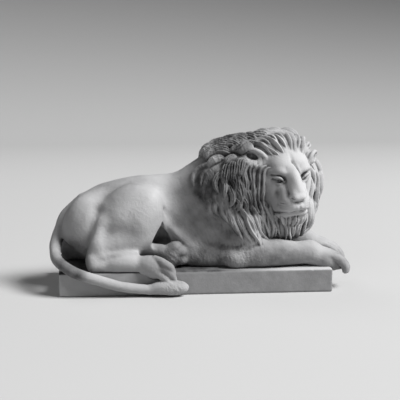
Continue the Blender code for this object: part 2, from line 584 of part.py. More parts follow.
def add_lion():
    points, quads = model_lion()
    mane = Mane(points, quads)
    mane.grow()
    start = len(points)
    body = np.vstack([points, np.array([tuple(p) for p in mane.points])])
    body = body * UNIT + np.array([0, 0, PLINTH_HEIGHT])
    mesh = bpy.data.meshes.new("lion")
    mesh.from_pydata(body.tolist(), [],
                     quads.tolist() + [[start + i for i in face] for face in mane.faces])
    lion = add_object("lion", mesh)
    lion.data.materials.append(plaster("lion plaster"))

    whole = lion.modifiers.new("one skin", "REMESH")
    whole.mode = "VOXEL"
    whole.voxel_size = GRAIN * 0.85
    whole.use_smooth_shade = True
    rubbed = lion.modifiers.new("rubbed down", "SMOOTH")
    rubbed.factor, rubbed.iterations = 0.5, 1
    fewer = lion.modifiers.new("fewer faces", "DECIMATE")
    bpy.context.view_layer.update()
    fewer.show_viewport = fewer.show_render = False
    graph = bpy.context.evaluated_depsgraph_get()
    faces = sum(len(p.vertices) - 2 for p in lion.evaluated_get(graph).data.polygons)
    fewer.show_viewport = fewer.show_render = True
    fewer.ratio = min(1.0, LION_FACES / faces)
    fewer.use_collapse_triangulate = True

    seat = add_object("lion seat cutter", box_mesh(
        "lion seat cutter", PLINTH_LENGTH + 2 * CLEARANCE, PLINTH_WIDTH + 2 * CLEARANCE,
        -0.05, PLINTH_HEIGHT + CLEARANCE))
    seat.display_type, seat.hide_render = "WIRE", True
    bed = lion.modifiers.new("lies on the plinth", "BOOLEAN")
    bed.operation, bed.solver, bed.object = "DIFFERENCE", "EXACT", seat
    return lion


for thing in list(bpy.data.objects):
    bpy.data.objects.remove(thing)
add_plinth()
add_lion()
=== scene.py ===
"""Plaster lion lying on a plinth: the dressed model, its stage, its light and its camera.

Lengths are in metres in the interface and the frame. The sculpting functions count in units of
1/244.5 of the lion's length, from the middle of the plinth's top.
"""

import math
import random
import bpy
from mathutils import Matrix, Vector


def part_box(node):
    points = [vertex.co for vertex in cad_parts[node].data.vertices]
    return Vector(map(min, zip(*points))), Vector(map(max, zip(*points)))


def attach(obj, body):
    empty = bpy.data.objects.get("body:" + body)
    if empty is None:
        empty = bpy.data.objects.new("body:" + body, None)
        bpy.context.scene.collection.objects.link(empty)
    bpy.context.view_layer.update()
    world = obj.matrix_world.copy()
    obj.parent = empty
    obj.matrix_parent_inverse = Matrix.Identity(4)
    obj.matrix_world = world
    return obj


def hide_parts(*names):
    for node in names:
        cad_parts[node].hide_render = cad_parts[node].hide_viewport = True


bl_info = {
    "name": "Plaster Lion on a Plinth",
    "version": (1, 0, 0),
    "blender": (4, 5, 0),
    "location": "View3D > Sidebar > Plaster Lion",
    "description": "Sculpts a recumbent lion with a laid-on mane, its plinth and a studio stage",
    "category": "Object",
}

from functools import partial

import bmesh
import bpy
import numpy as np
from mathutils import Matrix, Vector
from mathutils.bvhtree import BVHTree
from mathutils.kdtree import KDTree

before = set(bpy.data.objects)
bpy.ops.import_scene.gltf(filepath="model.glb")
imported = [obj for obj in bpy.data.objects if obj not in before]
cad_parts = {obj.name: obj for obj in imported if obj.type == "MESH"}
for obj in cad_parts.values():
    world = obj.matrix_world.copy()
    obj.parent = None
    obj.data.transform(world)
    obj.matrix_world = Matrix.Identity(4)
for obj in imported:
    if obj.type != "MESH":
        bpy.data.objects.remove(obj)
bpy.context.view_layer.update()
PLINTH_LOW, PLINTH_HIGH = (Vector(corner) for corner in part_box("plinth"))

LION_UNITS = 244.5  # the lion's length in sculpting units
SEED = 11
FRAME = 400  # pixels across the photograph

# The head, from the middle of the plinth's top, and the way it looks
HEAD_PLACE = np.array([73.8, -16.0, 73.7])
HEAD_TURN, HEAD_NOD, HEAD_TILT = -73.5, -9.0, 3.5
EAR_PLACES = (-2.0, -23.6, 16.8), (3.6, 22.6, 12.4)

# Where the mane's edge runs down the near and the far side: heights, and x at each
NEAR_EDGE = (40, 46, 60, 74, 88, 96), (54, 41, 27, 22, 20, 18)
FAR_EDGE = (34, 60, 88), (38, 24, 16)
# How far the hair leans forward as it falls, by height
FALL = (20, 30, 42, 56, 74, 84), (0.9, 0.8, 0.6, 0.4, 0.1, -0.4)


class LockKind:
    """Shape of one kind of lock, in sculpting units."""

    def __init__(self, length, width, height, wave, curl, arch, blunt, strands, groove, spread):
        self.length, self.width, self.height = length, width, height  # width: half of it
        self.wave, self.curl, self.arch, self.blunt = wave, curl, arch, blunt
        self.strands, self.groove, self.spread = strands, groove, spread


LOCK_KINDS = {
    "crown": LockKind(15.0, 3.6, 4.8, 0.25, 1.15, 2.6, 4.5, 4, 0.66, (0.21, 0.62)),
    "side": LockKind(19.0, 2.7, 3.6, 0.42, 0.85, 2.0, 3.2, 3, 0.66, (0.16, 0.60)),
    "ruff": LockKind(32.0, 1.9, 3.0, 0.28, 0.24, 1.5, 2.4, 1, 0.62, (0.15, 0.60)),
    "beard": LockKind(22.0, 1.6, 3.4, 0.22, 0.10, 1.2, 2.6, 1, 0.62, (0.26, 0.64)),
    "wisp": LockKind(24.0, 2.6, 1.5, 0.25, 0.20, 0.4, 2.0, 4, 0.60, (0.20, 0.72)),
}


def turned(axis, degrees):
    """Rotation matrix about x, y or z."""
    a = math.radians(degrees)
    c, s = math.cos(a), math.sin(a)
    return {
        "x": np.array([[1, 0, 0], [0, c, -s], [0, s, c]]),
        "y": np.array([[c, 0, s], [0, 1, 0], [-s, 0, c]]),
        "z": np.array([[c, -s, 0], [s, c, 0], [0, 0, 1]]),
    }[axis]


def frame_along(forward, up=(0, 0, 1)):
    """Matrix whose columns are forward, left and up."""
    f = np.asarray(forward, float)
    f = f / np.linalg.norm(f)
    left = np.cross(up, f)
    left /= np.linalg.norm(left)
    return np.column_stack([f, left, np.cross(f, left)])


def smooth_rows(rows, fine):
    """Catmull-Rom curve through the rows, with fine steps between two of them."""
    rows = np.asarray(rows, float)
    ends = np.vstack([2 * rows[0] - rows[1], rows, 2 * rows[-1] - rows[-2]])
    out = []
    for i in range(1, len(ends) - 2):
        a, b, c, d = ends[i - 1:i + 3]
        for t in np.arange(fine) / fine:
            out.append(0.5 * (2 * b + (c - a) * t + (2 * a - 5 * b + 4 * c - d) * t * t
                              + (3 * b - a - 3 * c + d) * t ** 3))
    out.append(rows[-1])
    return np.array(out)


class Clay:
    """A block of space that knows how far each of its points is from the modelled surface."""

    REACH = 30.0
    MARGIN = 14.0  # how far past its own surface a form is worked out

    def __init__(self, low, high, step):
        self.low = np.array(low, float)
        self.step = float(step)
        counts = np.ceil((np.array(high, float) - self.low) / step).astype(int) + 1
        self.field = np.full(counts, self.REACH, np.float32)

    def window(self, low, high):
        shape = np.array(self.field.shape)
        first = np.clip(np.floor((low - self.low) / self.step).astype(int), 0, shape)
        last = np.clip(np.ceil((high - self.low) / self.step).astype(int) + 1, 0, shape)
        where = tuple(slice(a, b) for a, b in zip(first, last))
        axes = [(self.low[i] + self.step * np.arange(first[i], last[i])).astype(np.float32)
                for i in range(3)]
        return where, np.ix_(*axes)

    def merge(self, where, other, blend, carve):
        """Add a form with a soft joint, or carve it away."""
        mine = self.field[where]
        if carve:
            other = -other
        soft = np.maximum(blend - np.abs(mine - other), 0) / blend
        fillet = soft * soft * blend / 4
        if carve:
            self.field[where] = np.maximum(mine, other) + fillet
        else:
            self.field[where] = np.minimum(mine, other) - fillet

    def ellipsoid(self, centre, radii, turn=None, blend=6.0, carve=False):
        centre, radii = np.asarray(centre, float), np.asarray(radii, float)
        turn = np.eye(3) if turn is None else turn
        reach = np.sqrt(((turn * radii) ** 2).sum(1)) + self.MARGIN
        where, (x, y, z) = self.window(centre - reach, centre + reach)
        x, y, z = x - centre[0], y - centre[1], z - centre[2]
        scaled = steep = 0
        for i in range(3):
            q = turn[0, i] * x + turn[1, i] * y + turn[2, i] * z
            scaled = scaled + (q / radii[i]) ** 2
            steep = steep + (q / radii[i] ** 2) ** 2
        scaled, steep = np.sqrt(scaled), np.sqrt(steep)
        distance = scaled * (scaled - 1) / np.maximum(steep, 1e-6)
        self.merge(where, distance.astype(np.float32), blend, carve)

    def roll(self, points, radii, blend=4.0, carve=False, fine=4):
        """A roll of clay that follows a curve and changes its thickness along it."""
        points = np.asarray(points, float)
        radii = np.broadcast_to(np.asarray(radii, float), (len(points),))
        rows = np.column_stack([points, radii])
        if len(points) > 2:
            rows = smooth_rows(rows, fine)
        points, radii = rows[:, :3], rows[:, 3]
        low = (points - radii[:, None]).min(0) - self.MARGIN
        high = (points + radii[:, None]).max(0) + self.MARGIN
        where, _ = self.window(low, high)
        nearest = np.full(self.field[where].shape, self.REACH, np.float32)
        first = [s.start for s in where]
        for a, b, ra, rb in zip(points[:-1], points[1:], radii[:-1], radii[1:]):
            r = max(ra, rb) + self.MARGIN
            inner, (x, y, z) = self.window(np.maximum(np.minimum(a, b) - r, low),
                                           np.minimum(np.maximum(a, b) + r, high))
            inner = tuple(slice(s.start - o, s.stop - o) for s, o in zip(inner, first))
            way = b - a
            x, y, z = x - a[0], y - a[1], z - a[2]
            h = np.clip((x * way[0] + y * way[1] + z * way[2]) / max(way @ way, 1e-9), 0, 1)
            x, y, z = x - h * way[0], y - h * way[1], z - h * way[2]
            distance = np.sqrt(x * x + y * y + z * z) - (ra + h * (rb - ra))
            nearest[inner] = np.minimum(nearest[inner], distance)
        self.merge(where, nearest, blend, carve)

    def skin(self):
        """Points and quads of the surface: one point in each cell that it crosses."""
        corners = np.array([(i, j, k) for i in (0, 1) for j in (0, 1) for k in (0, 1)])
        edges = [(a, b) for a in range(8) for b in range(a + 1, 8)
                 if np.abs(corners[a] - corners[b]).sum() == 1]
        solid = self.field < 0
        cells = tuple(n - 1 for n in solid.shape)
        base = solid[:-1, :-1, :-1]
        crossed = np.zeros(cells, bool)
        for i, j, k in corners[1:]:
            crossed |= solid[i:i + cells[0], j:j + cells[1], k:k + cells[2]] != base
        found = np.argwhere(crossed)
        number = np.full(cells, -1, np.int32)
        number[crossed] = np.arange(len(found))
        values = self.field[tuple((found[:, None, :] + corners).transpose(2, 0, 1))]
        total, count = np.zeros((len(found), 3)), np.zeros(len(found))
        for a, b in edges:
            va, vb = values[:, a], values[:, b]
            cross = (va < 0) != (vb < 0)
            t = np.where(cross, va / np.where(cross, va - vb, 1), 0)[:, None]
            total += np.where(cross[:, None], corners[a] + t * (corners[b] - corners[a]), 0)
            count += cross
        points = self.low + self.step * (found + total / count[:, None])
        quads = []
        for axis in range(3):
            u, v = (axis + 1) % 3, (axis + 2) % 3
            near = [slice(None)] * 3
            far = [slice(None)] * 3
            near[axis], far[axis] = slice(None, -1), slice(1, None)
            here = np.argwhere(solid[tuple(near)] != solid[tuple(far)])
            step_u, step_v = np.eye(3, dtype=int)[u], np.eye(3, dtype=int)[v]
            ring = [number[tuple((here - s).T)]
                    for s in (0 * step_u, step_u, step_u + step_v, step_v)]
            ring = np.column_stack(ring)
            leaving = solid[tuple(here.T)]
            quads.append(np.where(leaving[:, None], ring, ring[:, ::-1]))
        return points, np.vstack(quads)


def head_axes():
    """Forward, left and up of the head."""
    turn, nod = math.radians(HEAD_TURN), math.radians(HEAD_NOD)
    forward = (math.cos(turn) * math.cos(nod), math.sin(turn) * math.cos(nod), math.sin(nod))
    return frame_along(forward) @ turned("x", HEAD_TILT)


def on_head(forward, left, up):
    return HEAD_PLACE + head_axes() @ np.array([forward, left, up], float)


def model_trunk(clay):
    mass, roll = clay.ellipsoid, clay.roll
    mass((0, 5, 36), (42, 27, 38), turned("y", -10), 1)  # ribcage
    mass((2, 2, 17), (44, 26, 20), None, 10)  # belly
    mass((-34, 6, 34), (36, 24, 37), turned("y", -4), 14)  # loin
    mass((-60, 5, 25), (44, 25, 42), turned("y", 7), 14)  # pelvis
    mass((-91, 7, 13), (20, 20, 22), None, 12)  # far buttock
    mass((-46, 27, 16), (34, 15, 21), turned("z", -4), 12)  # far thigh
    mass((-8, 26, 20), (24, 10, 20), None, 10)  # far flank
    mass((26, 0, 46), (26, 29, 40), turned("y", -10), 14)  # withers
    mass((24, -20, 48), (20, 14, 33), turned("y", -16), 10)  # near shoulder
    mass((37, -24, 30), (15, 12, 19), turned("y", 14), 8)
    mass((26, 22, 40), (22, 13, 33), turned("y", -14), 10)  # far shoulder
    mass((40, 20, 20), (16, 11, 18), None, 8)
    mass((50, -2, 34), (22, 22, 34), None, 10)  # chest
    roll([(14, 0, 58), (34, -1, 67), (52, -3, 71), (64, -1, 72)], [27, 31, 29, 26], 10)
    roll([(-12, -20, 9), (4, -23, 8), (20, -24, 8), (34, -25, 8)], [7.5, 8.5, 8.5, 8], 5)  # fringe


def model_haunch(clay):
    """Hind legs: the near one folded under its thigh, the far one's foot out beside the belly."""
    mass, roll = clay.ellipsoid, clay.roll
    mass((-86, -10, 33), (19.5, 15, 24), turned("y", 10), 12)  # near buttock
    mass((-50, -19, 37), (27, 17, 31), turned("y", 12), 10)  # near thigh
    mass((-43, -23, 31), (14, 13, 17), turned("y", 22), 8)
    roll([(-38, -26, 22), (-58, -30, 20), (-76, -32, 19)], [6, 8, 7], 8)  # shank
    roll([(-79, -24, 47), (-82, -29, 31), (-85, -33, 14)], [1.0, 1.4, 2.0], 8, True)
    roll([(-66, -17.5, 66.6), (-60, -18.5, 68.2), (-53, -19, 68.4), (-47, -19.6, 68.2)],
         [0.1, 0.3, 0.3, 0.1], 2.4, True)
    mass((-39, -27.5, 44), (9, 8, 15), turned("y", 20), 9)  # front of the thigh
    for y in (1, -7, -16, -25, -34, -43):  # under the buttock
        roll([(-117, y, 17), (-105.5, y, 7), (-92.5, y, -2.5)], [11.3, 10.8, 10.4], 1.2, True)
    for y in (-35, -29, -23, -18):  # under the knee
        roll([(-27.8, y, 38.6), (-27.6, y, 21)], [0.6, 8.6], 1.2, True)
    roll([(-34, -19, 58), (-28.5, -22.5, 45), (-19.5, -24, 33), (-10, -24, 23), (-1, -21.5, 14),
          (7, -17, 8)], [3, 2.4, 2.4, 2.8, 2.8, 2], 5)  # fold of the flank
    roll([(-25, -25, 47), (-18, -27.5, 37), (-9, -28, 27)], [0.5, 1.2, 0.6], 5, True)
    roll([(-75, -24, 36), (-79.5, -29, 23), (-83, -34, 9)], [3.6, 4.0, 5.4], 9)  # hamstring
    mass((-82, -36.5, 6.4), (6.0, 6.4, 7.0), turned("y", 10), 3)  # heel
    mass((-74, -35.5, 11.5), (6.5, 6.0, 5.0), None, 4)
    mass((-60, -33, 14), (14, 6.5, 4), None, 4)
    roll([(-48, -38.2, 14.2), (-60, -39.4, 13.8), (-70, -38.8, 13.2)], [1.2, 1.6, 1.2], 3)
    mass((-57, -39, 7.0), (17, 8.0, 6.6), turned("y", -3), 3)  # metatarsus
    roll([(-82, -38, 4.5), (-66, -39, 4.6), (-44, -40, 4.8)], [5.4, 5.4, 6.0], 2)
    roll([(-75.5, -44.5, 17), (-76, -46.8, 12), (-75.5, -48.6, 6)], [0.3, 0.6, 0.5], 4, True)
    roll([(-68, -47.2, 11.6), (-58, -47.6, 11.8), (-46, -46.6, 12.0)], [0.7, 0.9, 0.6], 1.4, True)
    mass((-34.5, -42, 3.4), (12.5, 8.6, 8.8), turned("y", 28), 4)  # near hind paw
    for x, z in ((-19.6, 0.6), (-19.0, -4.4), (-22.4, -9.2)):
        roll([(x - 14, -44.0, z + 10.4), (x - 8.6, -47.4, z + 8.2), (x - 2.6, -49.2, z + 4.4),
              (x, -48.6, z)], [2.6, 3.2, 3.2, 2.5], 0.9)
        roll([(x + 1.6, -50.4, z - 0.4), (x + 1.0, -50.2, z - 1.8)], [0.6, 0.4], 0.4)
    roll([(-56, -22, 13), (-42, -25, 15.0), (-28, -26, 14)], [5.5, 5.0, 5.2], 3)
    mass((-18.5, -26, 10.0), (8.6, 8.0, 10.6), turned("y", 12), 3)  # far hind paw
    for x, z in ((-16.0, 17.0), (-11.4, 12.6), (-11.0, 6.4)):
        mass((x, -28.0, z), (4.6, 5.4, 4.2), None, 2.0)


def model_forelegs(clay):
    mass, roll = clay.ellipsoid, clay.roll
    mass((33, -30, 7), (11, 10, 7.4), None, 6)  # elbow
    roll([(32, -31, 7), (46, -31, 9.4), (64, -30, 11.2), (82, -29, 10.6), (94, -28, 11.2)],
         [7, 9.4, 11.2, 9.4, 9.6], 4)
    roll([(34, -26, 36), (42, -30, 26), (50, -31, 19)], [10, 8, 6], 8)  # over the elbow
    roll([(38, -39, 15), (50, -39.5, 20), (62, -36, 24)], [0.6, 1.1, 0.8], 2.4, True)
    roll([(16, -35, 40), (24, -37, 28), (31, -39, 17)], [0.4, 1.0, 1.0], 6, True)
    model_paw(clay, (91, -28, 10.5), (129, -25, -2.6), 11.0)
    roll([(38, 16, 12), (72, 10, 13.5), (96, 3, 15)], [11.5, 10.5, 9.4], 6)
    model_paw(clay, (96, 3, 14.5), (129, -7, 1.0), 10.2)


def model_paw(clay, wrist, tip, size, toes=4):
    """A paw from wrist to tip, with toes fanned across its front and bent at the knuckle."""
    wrist, tip = np.asarray(wrist, float), np.asarray(tip, float)
    length = np.linalg.norm(tip - wrist)
    axes = frame_along(tip - wrist)
    clay.ellipsoid(wrist + (tip - wrist) * 0.38, (length * 0.46, size * 0.98, size * 0.84), axes, 4)
    for i in range(toes):
        s = 2 * i / (toes - 1) - 1
        joints = [(0.28, 0.52 * s, 0.26), (0.64 - 0.04 * s * s, 0.74 * s, 0.36),
                  (0.86 - 0.07 * s * s, 0.78 * s, 0.02), (0.92 - 0.08 * s * s, 0.74 * s, -0.34)]
        places = [wrist + axes @ np.array([length * a, size * b, size * c]) for a, b, c in joints]
        clay.roll(places, [size * 0.26, size * 0.33, size * 0.31, size * 0.24], 0.9)


def model_tail(clay, seat):
    """Round the end of the plinth, over its front edge and along its front to the tuft."""
    r, end, front, floor = seat.tail_radius, seat.end, seat.front, seat.floor
    beside = front - r + 0.2
    tuft = floor + 6.2 + seat.tail_lift
    path = [(-88, 6, 46), (end + 8, 4, 37), (end + 2, 0, 28.5), (end - 1.8, -6, 21),
            (end - 3.2, -15, 14.5), (end - 1.4, front + 13, 9), (end + 6.5, front + 1, 4.2),
            (end + 18, beside + 0.6, -0.8),
            (end + 34, beside, 0.3 * floor), (end + 50, beside, 0.55 * floor),
            (end + 72, beside, 0.7 * floor)]
    clay.roll(path, [11, 8.0, 1.3 * r, 1.15 * r, 1.06 * r, 1.02 * r, r, r, 0.96 * r, 0.92 * r,
                     0.88 * r], 3, fine=6)
    clay.roll([(end + 72, beside, 0.7 * floor), (end + 80, beside - 0.8, tuft),
               (end + 89, beside - 1.2, tuft), (end + 96, beside - 0.8, tuft),
               (end + 99.5, beside - 0.2, tuft)], [3.8, 5.4, 6.1, 5.4, 3.6], 1.5)


def model_head(clay):
    axes = head_axes()

    def mass(centre, radii, turn=None, blend=4.0, carve=False):
        clay.ellipsoid(on_head(*centre), radii, axes if turn is None else axes @ turn, blend, carve)

    def roll(points, radii, blend=2.0, carve=False):
        clay.roll([on_head(*p) for p in points], radii, blend, carve)

    mass((-4, 0, 2), (19, 21.5, 21), blend=8)
    mass((3, 0, 8), (12.5, 16.5, 13), blend=6)  # forehead
    mass((12.5, 0, -15), (12, 9.4, 12.5), blend=6)  # core of the muzzle
    for s in (-1, 1):
        mass((9.0, s * 8.0, 11), (6.4, 7.6, 5.6), turned("x", s * -8), 5)  # boss over the eye
        mass((3.5, s * 12.8, -8), (10.5, 8.6, 15), blend=6)  # cheek
        roll([(15.6, s * 5.8, 6.0), (15.0, s * 11, 7.8), (10.0, s * 16.6, 6.8)], [2.2, 2.4, 1.9], 3)
        roll([(12.0, s * 6.4, -3), (17.0, s * 6.4, -9), (20.0, s * 6.4, -15)],
             [4.6, 5.4, 6.0], 4)  # side of the muzzle
        mass((10, s * 10.8, -19), (8, 5.4, 8), blend=5)  # jowl
        mass((21.6, s * 5.5, -16.4), (8.8, 6.5, 6.6), turned("y", 14), 3)  # whisker pad
        roll([(29.0, s * 1.8, -18.8), (26.6, s * 5.6, -20.2), (20.6, s * 9.6, -21.7),
              (11, s * 12.8, -23.6)], [2.4, 2.8, 3.0, 2.6], 2)  # upper lip
        roll([(15.4, s * 1.8, 8), (20, s * 2.4, -1), (27.0, s * 3.3, -8.2)], [3.2, 3.4, 3.2], 3)
        roll([(27.2, s * 5.2, -10.8), (30.2, s * 3.2, -11.0)], [1.7, 2.0], 2)  # nostril wing
    mass((21, 0, 0), (12, 4.6, 5.8), turned("y", 48), 3)  # flat of the nose
    mass((29.6, 0, -10.8), (2.9, 4.9, 2.8), blend=2)  # tip of the nose
    mass((23.6, 0, -18), (6.0, 4.5, 6.5), blend=2)
    roll([(11, -13.5, -29.0), (19.4, -9.8, -27.3), (25.2, 0, -25.0), (19.4, 9.8, -27.3),
          (11, 13.5, -29.0)], 2.4, 1.6)  # lower lip
    mass((13.4, 0, -30), (10.4, 12, 6.0), blend=3)  # chin
    for s in (-1, 1):
        mass((18.0, s * 12.6, 1.0), (5.2, 5.6, 3.6), turned("x", s * 10), 2.2, True)
        mass((11.2, s * 12.2, 0.7), (4.0, 4.4, 3.4), blend=0.4)  # eyeball in its socket
        roll([(16.2, s * 7.6, -0.6), (16.6, s * 12.0, 3.0), (12.2, s * 17.0, 2.8)],
             [0.8, 1.2, 0.9], 0.8)  # upper lid
        roll([(15.6, s * 7.8, -1.6), (15.2, s * 12.2, -2.5), (11.8, s * 16.6, 0.2)],
             [0.7, 1.0, 0.8], 0.8)  # lower lid
        roll([(16.2, s * 8.4, -0.9), (16.2, s * 12.0, 0.5), (12.8, s * 16.4, 1.6)],
             [0.6, 1.25, 0.7], 0.3, True)  # eye, hollowed under its lid
        mass((15.6, s * 11.8, -0.1), (2.2, 1.2, 1.2), blend=0.3, carve=True)  # pupil
        roll([(18.2, s * 8.2, 4.0), (17.2, s * 12.2, 5.4), (12.2, s * 17.4, 4.9)], [0.2, 0.4, 0.2],
             1.6, True)
        roll([(31.8, s * 2.6, -13.0), (30.8, s * 4.7, -12.6), (28.4, s * 6.3, -11.0)],
             [0.8, 1.2, 0.7], 0.5, True)  # nostril
        roll([(31.6, s * 3.6, -13.9), (31.4, s * 0.3, -15.9)], [0.7, 0.9], 0.6, True)
        roll([(31.2, 0, -21.6), (29.0, s * 5.4, -23.0), (21.8, s * 11.0, -25.1),
              (12.5, s * 14.6, -27.0)], [1.0, 1.1, 0.9, 0.4], 0.5, True)  # mouth
        for low in (-15.6, -17.6, -19.4):  # rows of whiskers
            roll([(30.2, s * 6.4, low + 0.6), (27.4, s * 10.4, low), (20.5, s * 12.6, low - 1.2)],
                 [0.3, 0.55, 0.3], 0.8, True)
    roll([(32.2, 0, -15.6), (31.6, 0, -18.4), (31.2, 0, -21)], [0.7, 0.8, 0.9], 0.8, True)
    roll([(10.5, 0, 21), (14.8, 0, 15)], [0.3, 0.5], 2.6, True)  # furrows of the brow
    roll([(14.6, 0, 15), (17.4, 2.8, 9.5), (18.8, 4.7, 4), (19.4, 5.4, -0.5)],
         [0.2, 0.45, 0.4, 0.1], 2.0, True)


def model_mane_bed(clay):
    """The mass of the mane, under its locks."""
    axes = head_axes()
    clay.ellipsoid((67.5, -1, 75), (15, 30, 31), axes, 8)
    clay.ellipsoid(on_head(-2, -1.5, -34), (14, 18, 18), axes, 8)
    clay.ellipsoid(on_head(2, -11, -45), (9, 9, 9), axes, 4)
    clay.ellipsoid((31, -22, 58), (16, 12, 23), turned("y", -20), 10)
    for s in (-1, 1):
        ruff = [(-5, 0, 23), (-5, s * 14.5, 19), (-7, s * 22.5 - 1.5, 10), (-5, s * 26.5, -6),
                (-2, s * 24, -22), (3, s * 16, -34), (6, s * 6, -42)]
        clay.roll([on_head(*p) for p in ruff], [7, 7.5, 7.5, 7.5, 7, 6.5, 6], 5)
    for left in (-14, -7, 0, 7, 14):
        side = abs(left)
        strand = ((11 - side * 0.3, left, -28), (13 - side * 0.2, left - 1, -38),
                  (15 - side * 0.2, left * 0.85 - 2.5, -47 + side * 0.2))
        clay.roll([on_head(*p) for p in strand], [6, 6, 4], 3)


def model_ears(clay):
    axes = head_axes()
    for place, s, k, w in zip(EAR_PLACES, (-1, 1), (0.90, 0.84), (1.32, 1.0)):
        turn = frame_along(axes @ np.array([0.82, s * 0.50, 0.20]), axes[:, 2])
        turn = turn @ turned("x", s * 20)
        size = np.array([k, k * w, k])
        centre = on_head(*place)
        clay.ellipsoid(centre, np.array([4.2, 7.6, 5.6]) * size, turn, 2.0)
        rim = ((1.0, -s * 8.2, 0.2), (3.0, -s * 5.0, 3.4), (3.8, -s * 0.5, 5.2),
               (3.0, s * 4.6, 4.6), (1.2, s * 9.4, 1.0), (0.6, s * 8.2, -2.4))
        clay.roll([centre + turn @ (np.array(p) * size) for p in rim],
                  k * np.array([1.1, 1.8, 2.1, 1.9, 1.2, 1.0]), 1.2)
        clay.ellipsoid(centre + turn @ (np.array([4.4, s * 3.2, -0.9]) * size),
                       np.array([5.0, 4.8, 3.0]) * size, turn, 1.0, True)


def model_lion(seat, step):
    low = (seat.end - 14, seat.front - 18, seat.floor - 4)
    clay = Clay(low, (136, 62, 122), step)
    model_trunk(clay)
    model_haunch(clay)
    model_forelegs(clay)
    model_tail(clay, seat)
    model_mane_bed(clay)
    model_head(clay)
    model_ears(clay)
    return clay.skin()


def ramp(value, start, end):
    return max(0.0, min(1.0, (value - start) / (end - start)))


def noise(points, size, seed=0):
    """Smooth random values from -1 to 1, with bumps of the given size or sizes."""
    q = np.asarray(points) / size
    cell = np.floor(q).astype(np.int64)
    f = q - cell
    f = f * f * (3 - 2 * f)
    total = 0
    for corner in np.ndindex(2, 2, 2):
        c = cell + corner
        h = (c[:, 0] * 73856093) ^ (c[:, 1] * 19349663) ^ (c[:, 2] * 83492791) ^ (seed * 2654435)
        h = (h ^ (h >> 13)) * 1274126177
        value = ((h ^ (h >> 16)) & 65535) / 32767.5 - 1
        total = total + value * np.prod(np.where(corner, f, 1 - f), axis=1)
    return total


def ramps(values, start, end):
    return np.clip((values - start) / (end - start), 0, 1)


class Seat:
    """The plinth as the lion meets it, in sculpting units from the middle of its top."""

    def __init__(self, unit, tail_thickness, tail_lift):
        size = PLINTH_HIGH - PLINTH_LOW
        self.end, self.front, self.floor = -size.x / unit / 2, -size.y / unit / 2, -size.z / unit
        self.tail_radius, self.tail_lift = tail_thickness / unit / 2, tail_lift / unit


